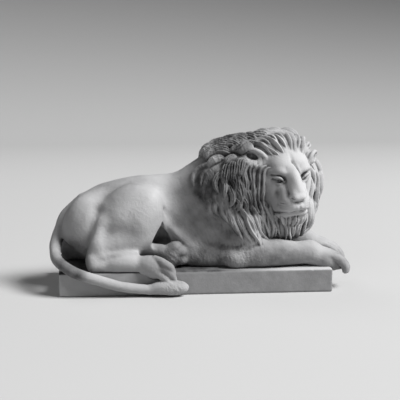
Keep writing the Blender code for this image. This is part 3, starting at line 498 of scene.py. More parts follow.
class Mane:
    """Plans the locks on the lion's skin, each along the way the hair grows there."""

    def __init__(self, points, quads):
        self.skin = BVHTree.FromPolygons(points.tolist(), quads.tolist())
        self.random = random.Random(SEED)
        self.guides = {name: [] for name in LOCK_KINDS}
        axes = head_axes()
        self.forward, self.left, self.up = (Vector(axes[:, i]) for i in range(3))
        self.head = Vector(HEAD_PLACE)
        self.ears = [Vector(on_head(*place)) for place in EAR_PLACES]

    def seen_from_head(self, p):
        q = p - self.head
        return q.dot(self.forward), q.dot(self.left), q.dot(self.up)

    def at_ear(self, p, reaches):
        return any((p - ear).length < reach for ear, reach in zip(self.ears, reaches))

    def growth(self, p):
        """Direction of the hair: off the brow, in a ring round the face and down to the beard."""
        forward, left, up = self.seen_from_head(p)
        s = 1 if left > 0 else -1
        angle = math.atan2(abs(left), up + 4)
        out = self.left * (s * math.sin(angle)) + self.up * math.cos(angle)
        ring = (self.left * (s * (up + 8) / 46 ** 2) - self.up * (abs(left) / 31 ** 2)).normalized()
        low = ramp(math.degrees(angle), 30, 72)
        ruff = out * (1 - low) + ring * (0.2 + 0.8 * low) - self.forward * (0.5 * (1 - low))
        beard = ramp(-up, 18, 30)
        ruff = ruff * (1 - beard) + (Vector((0, 0, -1)) - self.left * (0.012 * left)) * beard
        crown = ramp(p.z, 78, 96)
        lean = float(np.interp(p.z, *FALL)) if p.y < 0 else 0.1
        back = ((Vector((-1, 0, -0.1)) - self.forward * 0.3) * crown
                + Vector((lean, 0, -1)) * (1 - crown))
        near = ramp(forward, -14, -2)
        return (ruff * near + back * (1 - near)).normalized()

    def kind_at(self, p):
        """Kind of lock that grows at p, or None outside the mane."""
        forward, left, up = self.seen_from_head(p)
        round_face = math.hypot(left / 21.5, (up + 5) / 25.0)
        if forward > -6 and round_face < 1.0 and up > -24:
            return None
        if forward > 9 and up > -27.5 and abs(left) < 17:
            return None
        if self.at_ear(p, (8.5, 6.6)):
            return None
        inside = p.x - np.interp(p.z, *(NEAR_EDGE if p.y < 0 else FAR_EDGE))
        if inside < 0:
            return "wisp" if inside > -13 and 38 < p.z < 84 else None
        if up < -20 and forward > -6 and abs(left) < 20:
            return "beard" if p.z > 38 else None
        if p.z < 40:
            return None
        if forward > -11 and round_face < 1.65 or p.y < 0 and p.z < 60 and p.x > 33:
            return "ruff"
        return "crown" if p.z > 79 else "side"

    def find_roots(self, tries=26000):
        """Roots spread over the mane like bricks: close across the hair, far along it."""
        roots = []
        low, high = Vector((-14, -52, 18)), Vector((112, 40, 116))
        for _ in range(tries):
            p = Vector([self.random.uniform(a, b) for a, b in zip(low, high)])
            q, normal, _, _ = self.skin.find_nearest(p)
            name = self.kind_at(q) if (q - p).length < 5 else None
            if not name:
                continue
            kind = LOCK_KINDS[name]
            way = self.growth(q)
            way = (way - normal * way.dot(normal)).normalized()
            for other, _, theirs in roots:
                apart = q - other
                along = apart.dot(way)
                across = (apart - way * along).length
                share_along, share_across = kind.spread
                if (along / (share_along * (kind.length + theirs.length))) ** 2 \
                        + (across / (share_across * (kind.width + theirs.width))) ** 2 < 1:
                    break
            else:
                roots.append((q, name, kind))
        return roots

    def plan_lock(self, root, kind, scale, wave, curl, steps=16):
        """Points, normals and half widths along a lock that starts at root."""
        p, normal, _, _ = self.skin.find_nearest(root)
        way = self.growth(p)
        downhill = normal.cross((way - normal * way.dot(normal)).normalized()).z
        curl = -curl if downhill > 0 else curl
        roll = self.random.uniform(-0.3, 0.3)
        points, normals, widths = [], [], []
        for i in range(steps + 1):
            t = i / steps
            lift = -1.2 * (1 - t) ** 2 + 4 * kind.arch * t * (1 - t) + 0.3 * t * t
            points.append(p + normal * lift)
            normals.append(normal)
            taper = (1 - t ** kind.blunt) ** 0.7 * (0.5 + 0.5 * min(t / 0.25, 1) ** 0.7)
            widths.append(kind.width * scale * max(taper, 0.05))
            way = self.growth(p)
            way = (way - normal * way.dot(normal)).normalized()
            turn = wave * math.sin(t * 2 * math.pi) + curl * (t * t - 0.25)
            way = way * math.cos(turn) + normal.cross(way) * math.sin(turn)
            p, found, _, _ = self.skin.find_nearest(p + way * (kind.length * scale / steps))
            normal = (normal * 0.6 + found * 0.4).normalized()
        for i in range(steps + 1):
            way = (points[min(i + 1, steps)] - points[max(i - 1, 0)]).normalized()
            side = way.cross(normals[i]).normalized()
            n = side.cross(way)
            normals[i] = n * math.cos(roll) + side * math.sin(roll)
        return points, normals, widths

    def plan(self):
        pick = self.random
        for root, name, kind in self.find_roots():
            flip = -1 if pick.random() < 0.15 else 1
            lock = self.plan_lock(root, kind, pick.uniform(0.85, 1.2),
                                  kind.wave * pick.uniform(0.5, 1.3) * pick.choice((-1, 1)),
                                  kind.curl * pick.uniform(0.5, 1.2) * flip)
            if not any(self.at_ear(p, (7.6, 6.0)) for p in lock[0]):
                self.guides[name].append(lock)
        return self.guides


def feed(tree, socket, value):
    """Links a socket to the one given, or sets its value."""
    if isinstance(value, bpy.types.NodeSocket):
        tree.links.new(value, socket)
    elif value is not None:
        socket.default_value = value


def node(tree, kind, **values):
    """A node of the given kind with its properties and sockets set or linked by name."""
    made = tree.nodes.new(kind)
    for key, value in values.items():
        if hasattr(made, key):
            setattr(made, key, value)
        else:
            feed(tree, made.inputs[key.replace("_", " ")], value)
    return made


def math_node(tree, operation, a, b=None, clamp=False):
    made = node(tree, "ShaderNodeMath", operation=operation, use_clamp=clamp)
    for socket, value in zip(made.inputs, (a, b)):
        feed(tree, socket, value)
    return made.outputs[0]


def mix_colours(tree, share, one, two):
    """The first colour, changed into the second by the share."""
    mix = node(tree, "ShaderNodeMix", data_type="RGBA")
    for number, value in zip((0, 6, 7), (share, one, two)):
        feed(tree, mix.inputs[number], value)
    return mix.outputs[2]


def new_socket(tree, name, side, kind, value=None):
    socket = tree.interface.new_socket(name, in_out=side, socket_type="NodeSocket" + kind)
    if value is not None:
        socket.default_value = value


def lock_sweep_tree(material):
    """Geometry nodes that sweep a grooved lock along each guide line."""
    tree = bpy.data.node_groups.new("Mane locks", "GeometryNodeTree")
    tree.is_modifier = True
    for name, kind, value in (("Guides", "Geometry", None), ("Strands", "Int", 3),
                              ("Groove", "Float", 0.5), ("Thickness", "Float", 1.0),
                              ("Fineness", "Int", 26)):
        new_socket(tree, name, "INPUT", kind, value)
    new_socket(tree, "Locks", "OUTPUT", "Geometry")
    new, calc = partial(node, tree), partial(math_node, tree)
    given = new("NodeGroupInput").outputs
    lines = new("GeometryNodeMeshToCurve", Mesh=given["Guides"])
    lie = new("GeometryNodeInputNamedAttribute", data_type="FLOAT_VECTOR", Name="lie")
    turn = new("GeometryNodeSetCurveNormal", mode="FREE", Curve=lines.outputs["Curve"],
               Normal=lie.outputs["Attribute"])
    width = new("GeometryNodeInputNamedAttribute", data_type="FLOAT", Name="half_width")

    ring = new("GeometryNodeCurvePrimitiveCircle", Radius=1.0, Resolution=given["Fineness"])
    at = new("ShaderNodeSeparateXYZ", Vector=new("GeometryNodeInputPosition").outputs[0]).outputs
    phase = calc("MULTIPLY", calc("MULTIPLY", calc("ADD", at["Y"], 1.0), math.pi / 2),
                 given["Strands"])
    lobe = calc("POWER", calc("ABSOLUTE", calc("SINE", phase)), 0.85)
    top = calc("SUBTRACT", 1.0, calc("MULTIPLY", calc("SUBTRACT", 1.0, lobe), given["Groove"]))
    outward = calc("GREATER_THAN", at["X"], 0.0)
    share = calc("ADD", calc("MULTIPLY", outward, top),
                 calc("MULTIPLY", calc("SUBTRACT", 1.0, outward), 0.8))
    rise = calc("MULTIPLY", calc("MULTIPLY", at["X"], share), given["Thickness"])
    place = new("ShaderNodeCombineXYZ", X=rise, Y=at["Y"])
    shape = new("GeometryNodeSetPosition", Geometry=ring.outputs["Curve"],
                Position=place.outputs[0])

    sweep = new("GeometryNodeCurveToMesh", Curve=turn.outputs["Curve"], Fill_Caps=True,
                Scale=width.outputs["Attribute"], Profile_Curve=shape.outputs["Geometry"])
    real = new("GeometryNodeRealizeInstances", Geometry=sweep.outputs["Mesh"])
    finish = new("GeometryNodeSetMaterial", Geometry=real.outputs["Geometry"], Material=material)
    new("NodeGroupOutput", Locks=finish.outputs["Geometry"])
    return tree


def evaluated(obj):
    """Plain mesh of the object with its modifiers; the object is removed."""
    bpy.context.view_layer.update()
    graph = bpy.context.evaluated_depsgraph_get()
    mesh = bpy.data.meshes.new_from_object(obj.evaluated_get(graph))
    bpy.data.objects.remove(obj)
    return mesh


def add_object(name, data):
    obj = bpy.data.objects.new(name, data)
    bpy.context.scene.collection.objects.link(obj)
    return obj


def add_mesh(name, points, edges, faces):
    mesh = bpy.data.meshes.new(name)
    mesh.from_pydata(points, edges, faces)
    return add_object(name, mesh)


def rub_down(clay):
    """Mesh of a piece of clay with its finest steps smoothed away."""
    rub = clay.modifiers.new("rubbed down", "SMOOTH")
    rub.factor, rub.iterations = 0.5, 2
    return evaluated(clay)


def thin(mesh, most):
    """The mesh, brought down to so many triangles."""
    skin = add_object("skin", mesh)
    fewer = skin.modifiers.new("fewer faces", "DECIMATE")
    fewer.ratio = min(1.0, most / sum(len(p.vertices) - 2 for p in mesh.polygons))
    fewer.use_collapse_triangulate = True
    return evaluated(skin)


def fetch(items, name, size=1, kind=float):
    """One property of all the items, with a row for each where it has more than one value."""
    values = np.empty(len(items) * size, kind)
    items.foreach_get(name, values)
    return values if size == 1 else values.reshape(-1, size)


def get_points(mesh):
    return fetch(mesh.vertices, "co", 3)


def point_normals(mesh):
    return fetch(mesh.vertex_normals, "vector", 3)


def set_points(mesh, points):
    mesh.vertices.foreach_set("co", points.ravel())
    mesh.update()


def paint(mesh, name, values, kind="FLOAT"):
    """Keeps a value for each point of the mesh under the name."""
    layer = mesh.attributes.new(name, kind, "POINT")
    layer.data.foreach_set("value" if kind == "FLOAT" else "vector",
                           np.asarray(values, np.float32).ravel())


def sweep_locks(guides, kind, tree):
    """Points and faces of all locks of one kind."""
    points = [tuple(p) for lock in guides for p in lock[0]]
    count = len(guides[0][0])
    edges = [(i, i + 1) for i in range(len(points)) if (i + 1) % count]
    obj = add_mesh("lock guides", points, edges, [])
    paint(obj.data, "lie", [tuple(n) for lock in guides for n in lock[1]], "FLOAT_VECTOR")
    paint(obj.data, "half_width", [w for lock in guides for w in lock[2]])
    sweep = obj.modifiers.new("sweep", "NODES")
    sweep.node_group = tree
    wanted = {"Strands": kind.strands, "Groove": kind.groove,
              "Thickness": kind.height / kind.width, "Fineness": 8 * kind.strands + 2}
    for socket in tree.interface.items_tree:
        if socket.name in wanted:
            sweep[socket.identifier] = wanted[socket.name]
    mesh = evaluated(obj)
    starts = fetch(mesh.polygons, "loop_start", kind=int)
    faces = np.split(fetch(mesh.loops, "vertex_index", kind=int), starts[1:])
    return get_points(mesh), [face.tolist() for face in faces]


def rough_places(points):
    """How coarse the fur is at each point: elbow, hocks, tuft, belly fringe and buttock hem."""
    spots = (((33, -34, 6), 20, 1.0), ((50, -36, 4), 14, 0.5), ((-84, -38, 8), 12, 0.15),
             ((-17, -30, 9), 13, 1.0), ((-26, -48, -4), 15, 0.25), ((-20, -49, -13), 16, 1.0),
             ((-98, -24, 12), 18, 1.0), ((0, -20, 6), 22, 0.9), ((-14, -22, 9), 16, 0.7),
             ((118, -27, 2), 16, 0.6), ((120, -4, 5), 16, 0.6), ((33, 22, 8), 20, 0.7),
             ((0, 24, 6), 26, 0.7), ((-50, 38, 6), 30, 0.5))
    rough = np.zeros(len(points))
    for centre, radius, strength in spots:
        distance = np.linalg.norm(points - centre, axis=1)
        rough = np.maximum(rough, strength * (1 - ramps(distance, radius * 0.45, radius)))
    return rough


def comb(points, guides):
    """Where each point lies along and across the lock that is nearest to it, and how near."""
    locks = [lock for kind in guides.values() for lock in kind]
    spine = np.array([[tuple(p) for p in lock[0]] for lock in locks])
    lie = np.array([[tuple(n) for n in lock[1]] for lock in locks])
    steps = spine.shape[1]
    way = np.gradient(spine, axis=1).reshape(-1, 3)
    side = np.cross(way, lie.reshape(-1, 3))
    side /= np.linalg.norm(side, axis=1)[:, None]
    spine = spine.reshape(-1, 3)
    tree = KDTree(len(spine))
    for i, p in enumerate(spine.tolist()):
        tree.insert(p, i)
    tree.balance()
    found = np.array([tree.find(p)[1:] for p in points.tolist()])
    nearest, distance = found[:, 0].astype(int), found[:, 1]
    off = points - spine[nearest]
    across = (off * side[nearest]).sum(1)
    step = np.linalg.norm(way[nearest], axis=1)
    along = (nearest % steps) * step + (off * way[nearest]).sum(1) / np.maximum(step, 1e-6)
    return along, across, nearest // steps, distance


def carve_relief(mesh, guides, depth):
    """Strokes of fur, tufts and the unevenness of a hand-made mould, pressed into the skin."""
    points, normals = get_points(mesh), point_normals(mesh)
    spine = np.array([tuple(p) for kind in guides.values() for lock in kind for p in lock[0]])
    hairy = ((points > spine.min(0) - 4) & (points < spine.max(0) + 4)).all(1)
    along, across, lock, distance = comb(points[hairy], guides)
    hair = np.zeros(len(points))
    fine = noise(np.column_stack([across / 0.42, along / 11, lock * 3.7]), 1, 12)
    wide = noise(np.column_stack([across / 0.85, along / 15, lock * 5.3]), 1, 13)
    hair[hairy] = (0.55 * fine - 0.9 * np.abs(wide) + 0.3) * (1 - ramps(distance, 2.4, 3.8))
    rough = rough_places(points)
    x, y, z = points.T
    side = ramps(np.abs(normals[:, 1]), 0.2, 0.7)
    lean = np.where(x < 20, 0.55, 0.2)
    along, across = (x * lean - z) / np.hypot(lean, 1), (x + z * lean) / np.hypot(lean, 1)
    fur = np.column_stack([across, along, y])
    strokes = noise(fur, (1.5, 7.0, 9.0), 1) + 0.6 * noise(fur, (0.9, 4.0, 6.0), 2)
    tufts = (0.6 * noise(points, 1.7, 3) + 0.8 * noise(points, 1.0, 4)
             + 0.6 * noise(fur, (1.2, 3.6, 3.0), 5))
    swell = noise(points, 11, 6) + 0.5 * noise(points, 5.5, 7)
    neck = ramps(x, -8, 8) * (1 - ramps(x, 52, 60)) * ramps(z, 12, 26) * (y < 0)
    flank = ramps(x, -24, -8) * (1 - ramps(x, 60, 70))
    stipple = noise(points, 1.4, 9) * (0.3 + 0.7 * (1 - ramps(x, 52, 64) * ramps(z, 36, 46)))
    move = (0.16 * swell + 0.13 * strokes * side * (0.4 * flank + 1.3 * neck)
            + 0.085 * stipple + 0.20 * tufts * rough + 0.12 * hair) * depth
    set_points(mesh, points + normals * move[:, None])


def keep_off_plinth(mesh, seat, gap):
    """Push back what the smoothing moved into the plinth or too near it."""
    points = get_points(mesh)
    x, y, z = points.T
    depth = np.column_stack([x - (seat.end - gap), (-seat.end + gap) - x,
                             y - (seat.front - gap), (-seat.front + gap) - y, gap - z])
    inside = (depth > 0).all(1)
    way = np.array([(-1, 0, 0), (1, 0, 0), (0, -1, 0), (0, 1, 0), (0, 0, 1)])
    nearest = depth[inside].argmin(1)
    points[inside] += way[nearest] * depth[inside][np.arange(len(nearest)), nearest][:, None]
    set_points(mesh, points)


def shelter(mesh, reach, samples=60000, rays=16, clear=0.12):
    """How closed in each point is, from 0 in the open to 1 in a deep groove."""
    points, normals = get_points(mesh), point_normals(mesh)
    tree = BVHTree.FromPolygons(points.tolist(), [tuple(p.vertices) for p in mesh.polygons])
    pick = np.random.default_rng(SEED)
    some = pick.choice(len(points), min(samples, len(points)), replace=False)
    around = pick.normal(size=(rays, 3))
    around /= np.linalg.norm(around, axis=1)[:, None]
    closed = np.zeros(len(some))
    starts = (points + normals * clear)[some]
    for way in around:
        ways = normals[some] * 1.05 + way
        ways /= np.linalg.norm(ways, axis=1)[:, None]
        for i, (start, direction) in enumerate(zip(starts.tolist(), ways.tolist())):
            distance = tree.ray_cast(start, direction, reach)[3]
            if distance is not None:
                closed[i] += 1 - 0.5 * distance / reach
    near = KDTree(len(some))
    for i, p in enumerate(points[some].tolist()):
        near.insert(p, i)
    near.balance()
    return closed[[near.find(p)[1] for p in points.tolist()]] / rays


def dust_and_painted_shade(points):
    """How much darker the plaster is painted: dust with painted shade on the mane, neck, shoulder,
    belly and round the tail.
    """
    x, y, z = points.T

    def round_spot(centre, radii, strength):
        far = np.sqrt(sum(((v - c) / r) ** 2 for v, c, r in zip((x, z), centre, radii)))
        return strength * (1 - ramps(far, 0.35, 1.0))

    edge = np.where(y < 0, np.interp(z, *NEAR_EDGE), np.interp(z, *FAR_EDGE))
    mane = (0.95 - 0.12 * ramps(z, 76, 90)) * ramps(x - edge, -14, 4) * ramps(z, 30, 46)
    mane *= 1 - 0.95 * ramps(x + 0.2 * y, 44, 66)
    # painted shade with dust: darker spots on the shoulder, belly, flank, forelegs, paw, rump and
    # the mane's near side
    spots = (round_spot((26, 40), (34, 44), 0.72), round_spot((4, 6), (46, 24), 0.80),
             round_spot((-4, 38), (40, 50), 0.62), round_spot((64, 8), (52, 22), 0.66),
             round_spot((112, 2), (30, 18), 0.6), round_spot((-72, 70), (60, 22), 0.5),
             round_spot((-101, 6), (20, 26), 0.85), round_spot((-22, 12), (36, 24), 0.62),
             round_spot((-58, 26), (30, 18), 0.40), round_spot((10, 66), (22, 34), 1.0))
    cloud = 1 + 0.22 * noise(points, 13, 21) + 0.16 * noise(points, 5, 22)
    # painted light: the near face and haunch are spared the even darkening below, so they read
    # lighter
    clean_and_lit = (y < 0) * np.maximum(round_spot((80, 68), (44, 46), 1),
                                 round_spot((-50, 44), (40, 36), 1))
    dark = np.maximum(mane, np.maximum.reduce(spots)) * (1 - 0.42 * ramps(y, 4, 24))
    for place in EAR_PLACES:
        dark *= 0.35 + 0.65 * ramps(np.linalg.norm(points - on_head(*place), axis=1), 8, 12)
    # painted shade in the eye sockets, deeper round the near eye
    for side, strength in ((-1, 0.62), (1, 0.35)):
        far = np.linalg.norm(points - on_head(14, 12 * side, 0), axis=1)
        dark = np.maximum(dark, strength * (1 - ramps(far, 2.5, 7.5)))
    return np.clip(np.maximum(dark, 0.28 * (1 - clean_and_lit)) * cloud, 0, 1)


def spread(mesh, values, rounds):
    """Values at the points, blurred with their neighbours' again and again."""
    ends = fetch(mesh.edges, "vertices", 2, int)
    one, two = ends.T
    size = len(values)
    count = np.bincount(ends.ravel(), minlength=size)[:, None]
    for _ in range(rounds):
        around = np.column_stack([np.bincount(one, row[two], size)
                                  + np.bincount(two, row[one], size) for row in values.T])
        values = 0.4 * values + 0.6 * around / count
    return values


def hollows(mesh):
    """How far each point lies below the surface around it, on average over ever wider rings."""
    points, normals = get_points(mesh), point_normals(mesh)
    smooth, depth = points, 0
    for rounds in (3, 6, 15):
        smooth = spread(mesh, smooth, rounds)
        depth = depth + ((smooth - points) * normals).sum(1)
    return depth / 3


def cast_plaster_group():
    """Shader group for old cast plaster: mottled colour, grime and painted shade in the hollows, a
    pitted skin.
    """
    tree = bpy.data.node_groups.new("Cast plaster", "ShaderNodeTree")
    for name, kind, value in (("Plaster", "Color", (0.5, 0.5, 0.5, 1)),
                              ("Grime Colour", "Color", (0.1, 0.1, 0.1, 1)),
                              ("Grime", "Float", 0.0), ("Coarseness", "Float", 0.0),
                              ("Mottling", "Float", 0.12), ("Grain Size", "Float", 0.0011),
                              ("Grain Depth", "Float", 0.5)):
        new_socket(tree, name, "INPUT", kind, value)
    for name, kind in (("Colour", "Color"), ("Roughness", "Float"), ("Normal", "Vector")):
        new_socket(tree, name, "OUTPUT", kind)
    new, calc = partial(node, tree), partial(math_node, tree)
    given = new("NodeGroupInput").outputs
    place = new("ShaderNodeTexCoord").outputs["Object"]

    def texture(scale, detail, rough):
        made = new("ShaderNodeTexNoise", Vector=place, Scale=scale, Detail=detail, Roughness=rough)
        return made.outputs["Fac"]

    clouds, blotches, specks = texture(22, 4, 0.6), texture(95, 5, 0.65), texture(900, 3, 0.7)
    mottle = calc("ADD", calc("MULTIPLY", clouds, 0.45),
                  calc("ADD", calc("MULTIPLY", blotches, 0.35), calc("MULTIPLY", specks, 0.20)))
    mottle = calc("MULTIPLY", calc("SUBTRACT", mottle, 0.5), given["Mottling"])
    tone = new("ShaderNodeVectorMath", operation="SCALE", Vector=given["Plaster"],
               Scale=calc("ADD", 1.0, calc("MULTIPLY", mottle, 4.0)))
    # the darkening input carries grime and painted shade, broken up by the blotches
    dirt_and_shade = calc("MULTIPLY", given["Grime"], calc("ADD", 0.6, calc("MULTIPLY", blotches, 0.8)), True)

    grain = texture(calc("DIVIDE", 1.0, given["Grain Size"]), 3, 0.6)
    pits = new("ShaderNodeTexVoronoi", Vector=place, Scale=620.0)
    hollow = calc("SUBTRACT", 0.35, pits.outputs["Distance"], True)
    height = calc("MULTIPLY", calc("SUBTRACT", grain, calc("MULTIPLY", hollow, 0.8)),
                  calc("ADD", given["Grain Depth"], given["Coarseness"]))
    bump = new("ShaderNodeBump", Strength=0.8, Distance=0.0004, Height=height)
    new("NodeGroupOutput", Colour=mix_colours(tree, dirt_and_shade, tone.outputs[0], given["Grime Colour"]),
        Roughness=calc("ADD", 0.74, calc("MULTIPLY", blotches, 0.2)),
        Normal=bump.outputs["Normal"])
    return tree


def plaster_material(name, finish, mottling, grain_depth):
    """Matt plaster with the shared group; the pieces carry their grime and painted shade as an
    attribute.
    """
    material = bpy.data.materials.new(name)
    material.use_nodes = True
    tree = material.node_tree
    grime_and_shade, coarse = (node(tree, "ShaderNodeAttribute", attribute_name=name).outputs["Fac"]
                     for name in ("grime_and_shade", "coarse"))
    group = node(tree, "ShaderNodeGroup",
                 node_tree=bpy.data.node_groups.get("Cast plaster") or cast_plaster_group(),
                 Plaster=(*finish.plaster, 1), Grime_Colour=(*finish.grime_and_shade, 1), Grime=grime_and_shade,
                 Coarseness=coarse, Mottling=mottling, Grain_Depth=grain_depth)
    shader = tree.nodes["Principled BSDF"].inputs
    shader["Specular IOR Level"].default_value = 0.25
    for out, socket in (("Colour", "Base Color"), ("Roughness", "Roughness"), ("Normal", "Normal")):
        tree.links.new(group.outputs[out], shader[socket])
    return material


def drop_crumbs(shape, fewest=300):
    """Deletes bits of skin that hang together with nothing: shut-in pores and loose specks."""
    met, crumbs = set(), []
    for start in shape.faces:
        if start in met:
            continue
        met.add(start)
        bit = [start]
        for face in bit:
            for edge in face.edges:
                for other in edge.link_faces:
                    if other not in met:
                        met.add(other)
                        bit.append(other)
        if len(bit) < fewest:
            crumbs += bit
    bmesh.ops.delete(shape, geom=crumbs, context="FACES")


def slices(mesh, most):
    """Closed parts of a closed skin, cut by upright planes where it has so many triangles each."""
    corners = fetch(mesh.loops, "vertex_index", kind=int).reshape(-1, 3)
    points, normals = get_points(mesh), point_normals(mesh)
    layers = {name: fetch(mesh.attributes[name].data, "value", kind=np.float32)
              for name in ("grime_and_shade", "coarse")}
    across = points[corners, 0]
    count = math.ceil(len(corners) / most)
    planes = [-math.inf, *np.quantile(across.mean(1), np.arange(1, count) / count), math.inf]
    for low, high in zip(planes[:-1], planes[1:]):
        mine = corners[(across.max(1) > low) & (across.min(1) < high)]
        used, mine = np.unique(mine, return_inverse=True)
        part = bpy.data.meshes.new("part")
        part.from_pydata(points[used].tolist(), [], mine.reshape(-1, 3).tolist())
        for name, values in layers.items():
            paint(part, name, values[used])
        paint(part, "way out", normals[used], "FLOAT_VECTOR")
        shape = bmesh.new()
        shape.from_mesh(part)
        for x, side in ((low, -1), (high, 1)):
            if math.isinf(x):
                continue
            whole = shape.verts[:] + shape.edges[:] + shape.faces[:]
            cut = bmesh.ops.bisect_plane(shape, geom=whole, dist=1e-5, plane_co=(x, 0, 0),
                                         plane_no=(side, 0, 0), clear_outer=True)
            rim = [item for item in cut["geom_cut"] if isinstance(item, bmesh.types.BMEdge)]
            caps = bmesh.ops.holes_fill(shape, edges=rim)["faces"]
            for cap in caps:  # turned the same way round as the skin that it joins
                one, two = cap.edges[0].link_loops
                if one.vert == two.vert:
                    cap.normal_flip()
                cap.normal_update()
                cap.material_index = 1
            bmesh.ops.triangulate(shape, faces=caps)
        drop_crumbs(shape)
        bmesh.ops.triangulate(shape, faces=[face for face in shape.faces if len(face.verts) > 3])
        shape.to_mesh(part)
        shape.free()
        yield part


def smooth_slice(part):
    """Shades a slice as the whole skin it was cut from, and its cut faces flat."""
    ways = fetch(part.attributes["way out"].data, "vector", 3, np.float32)
    corners = fetch(part.loops, "vertex_index", kind=int)
    cap = fetch(part.polygons, "material_index", kind=int)
    flat = fetch(part.polygons, "normal", 3, np.float32)
    normals = np.where(np.repeat(cap == 1, 3)[:, None], np.repeat(flat, 3, axis=0), ways[corners])
    normals /= np.maximum(np.linalg.norm(normals, axis=1), 1e-9)[:, None]
    part.polygons.foreach_set("material_index", np.zeros(len(cap), int))
    part.attributes.remove(part.attributes["way out"])
    part.shade_smooth()
    part.normals_split_custom_set(normals.tolist())


def finish_piece(mesh, name, node_name, material):
    """Names the piece, gives it its finish and puts it in the place of its solid."""
    piece = add_object(name, mesh)
    mesh.materials.clear()
    mesh.materials.append(material)
    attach(piece, "root")
    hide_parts(node_name)


def lion_grime_and_shade(mesh, finish):
    """Grime and painted shade where the skin is closed in or sunken, most of all in the mane, and
    dust with painted shade over it.
    """
    closed, dips, points = shelter(mesh, reach=9.0), hollows(mesh), get_points(mesh)
    mane = ramps(points[:, 0], 0, 22)
    # painted shade with grime: darker where nearby skin blocks the rays and where the skin lies
    # sunken
    dirt_and_shade = np.maximum(ramps(closed, 0.24, 0.66),
                      (0.45 + 0.5 * mane) * ramps(dips, 0.03, 0.34 - 0.12 * mane))
    dirt_and_shade = spread(mesh, dirt_and_shade[:, None], 2)[:, 0]
    return 1 - (1 - finish.grime_and_shade_share * dirt_and_shade) * (1 - finish.dust_and_shade * dust_and_painted_shade(points))


def make_lion(sizes, finish):
    unit = sizes.length / LION_UNITS
    seat = Seat(unit, sizes.tail_thickness, sizes.tail_lift)
    points, quads = model_lion(seat, sizes.clay_step / unit)
    material = plaster_material("lion plaster", finish, mottling=0.12, grain_depth=0.45)
    tree = lock_sweep_tree(material)
    guides = Mane(points, quads).plan()
    faces = quads.tolist()
    for name, kind in LOCK_KINDS.items():
        if guides[name]:
            locks, rings = sweep_locks(guides[name], kind, tree)
            faces += [[i + len(points) for i in ring] for ring in rings]
            points = np.vstack([points, locks])
    clay = add_mesh("lion clay", points.tolist(), [], faces)
    skin = clay.modifiers.new("one skin", "REMESH")
    skin.mode, skin.voxel_size = "VOXEL", sizes.relief_step / unit
    mesh = rub_down(clay)
    carve_relief(mesh, guides, sizes.relief)
    mesh = thin(mesh, sizes.pieces * sizes.faces)
    keep_off_plinth(mesh, seat, sizes.clearance / unit)
    paint(mesh, "coarse", 0.9 * rough_places(get_points(mesh)))
    # grime with painted shade in the hollows, and dust with painted shade over the mane, neck and
    # belly
    paint(mesh, "grime_and_shade", lion_grime_and_shade(mesh, finish))
    mesh.transform(Matrix.Translation((0, 0, PLINTH_HIGH.z)) @ Matrix.Scale(unit, 4))
    for place, part in zip(("rear", "middle", "mane", "front", "head", "muzzle"),
                           slices(mesh, sizes.faces)):
        smooth_slice(part)
        finish_piece(part, f"cast_lion_{place}", "lion", material)


def make_plinth(sizes, finish):
    """Plinth with softly rounded, here and there chipped edges."""
    unit = 0.001
    half = (PLINTH_HIGH - PLINTH_LOW) / 2 / unit
    middle = (PLINTH_HIGH + PLINTH_LOW) / 2 / unit
    clay = Clay(-np.array(half) - 2, np.array(half) + 2, sizes.step / unit)
    _, (x, y, z) = clay.window(clay.low, -clay.low)
    r = sizes.rounding / unit
    out = [np.abs(v) - h + r for v, h in zip((x, y, z), half)]
    far = np.sqrt(sum(np.maximum(v, 0) ** 2 for v in out))
    deep = np.minimum(np.maximum(np.maximum(out[0], out[1]), out[2]), 0)
    clay.field = (far + deep - r).astype(np.float32)
    pick = random.Random(SEED)
    chips = [((half.x, -half.y, half.z), 1.9), ((half.x - 1, -half.y, -half.z), 2.2),
             ((-half.x, -half.y, half.z), 1.3), ((-half.x, half.y, half.z), 1.8)]
    edges = (0, -1, 1), (0, 1, 1), (1, 0, 1), (0, -1, -1), (1, -1, 0)
    for _ in range(sizes.chips):
        along, edge = pick.uniform(-1, 1), pick.choice(edges)
        centre = [h * (e if e else along) for h, e in zip(half, edge)]
        chips.append((centre, pick.uniform(0.5, 1.5)))
    for centre, size in chips:
        turn = turned("z", pick.uniform(0, 90)) @ turned("y", pick.uniform(0, 60))
        out_by = np.array([0.45 * size * np.sign(c) * (abs(abs(c) - h) < 1.5)
                           for c, h in zip(centre, half)])
        clay.ellipsoid(np.array(centre) + out_by, (size * 1.6, size, size * 0.9), turn, 0.8, True)
    points, quads = clay.skin()
    mesh = rub_down(add_mesh("plinth clay", points.tolist(), [], quads.tolist()))
    points, normals = get_points(mesh), point_normals(mesh)
    height = points[:, 2]
    push = 0.07 * noise(points, 9, 8) + 0.05 * noise(points, 3.5, 9) + 0.04 * noise(points, 1.6, 10)
    push = push * (height > -half.z + 0.3) * (1 - ramps(height, half.z - 0.9, half.z - 0.1))
    points = points + normals * push[:, None]
    points[:, 2] = np.minimum(points[:, 2], half.z)
    set_points(mesh, points)
    mesh = thin(mesh, sizes.faces)
    mesh.transform(Matrix.Scale(unit, 4) @ Matrix.Translation(middle))
    mesh.shade_smooth()
    mesh.update()
    # painted shade: the sides darker than the top, more so on the right half, and the top darkened
    # from the left to just past the middle as the lion's painted shadow
    top, x = ramps(point_normals(mesh)[:, 2], 0.2, 0.8), get_points(mesh)[:, 0]
    side = 0.28 + 0.24 * ramps(x, -0.06, 0.0)
    paint(mesh, "grime_and_shade", side * (1 - top) + 0.9 * top * (1 - ramps(x, 0.020, 0.075)))
    paint(mesh, "coarse", np.full(len(mesh.vertices), 0.1))
    material = plaster_material("plinth plaster", finish, mottling=0.09, grain_depth=0.25)
    finish_piece(mesh, "cast_plinth", "plinth", material)


def add_area_light(name, place, aim, size, power):
    light = bpy.data.lights.new(name, "AREA")
    light.size, light.energy = size, power
    lamp = add_object(name, light)
    lamp.location = place
    lamp.rotation_euler = (Vector(aim) - Vector(place)).to_track_quat("-Z", "Y").to_euler()


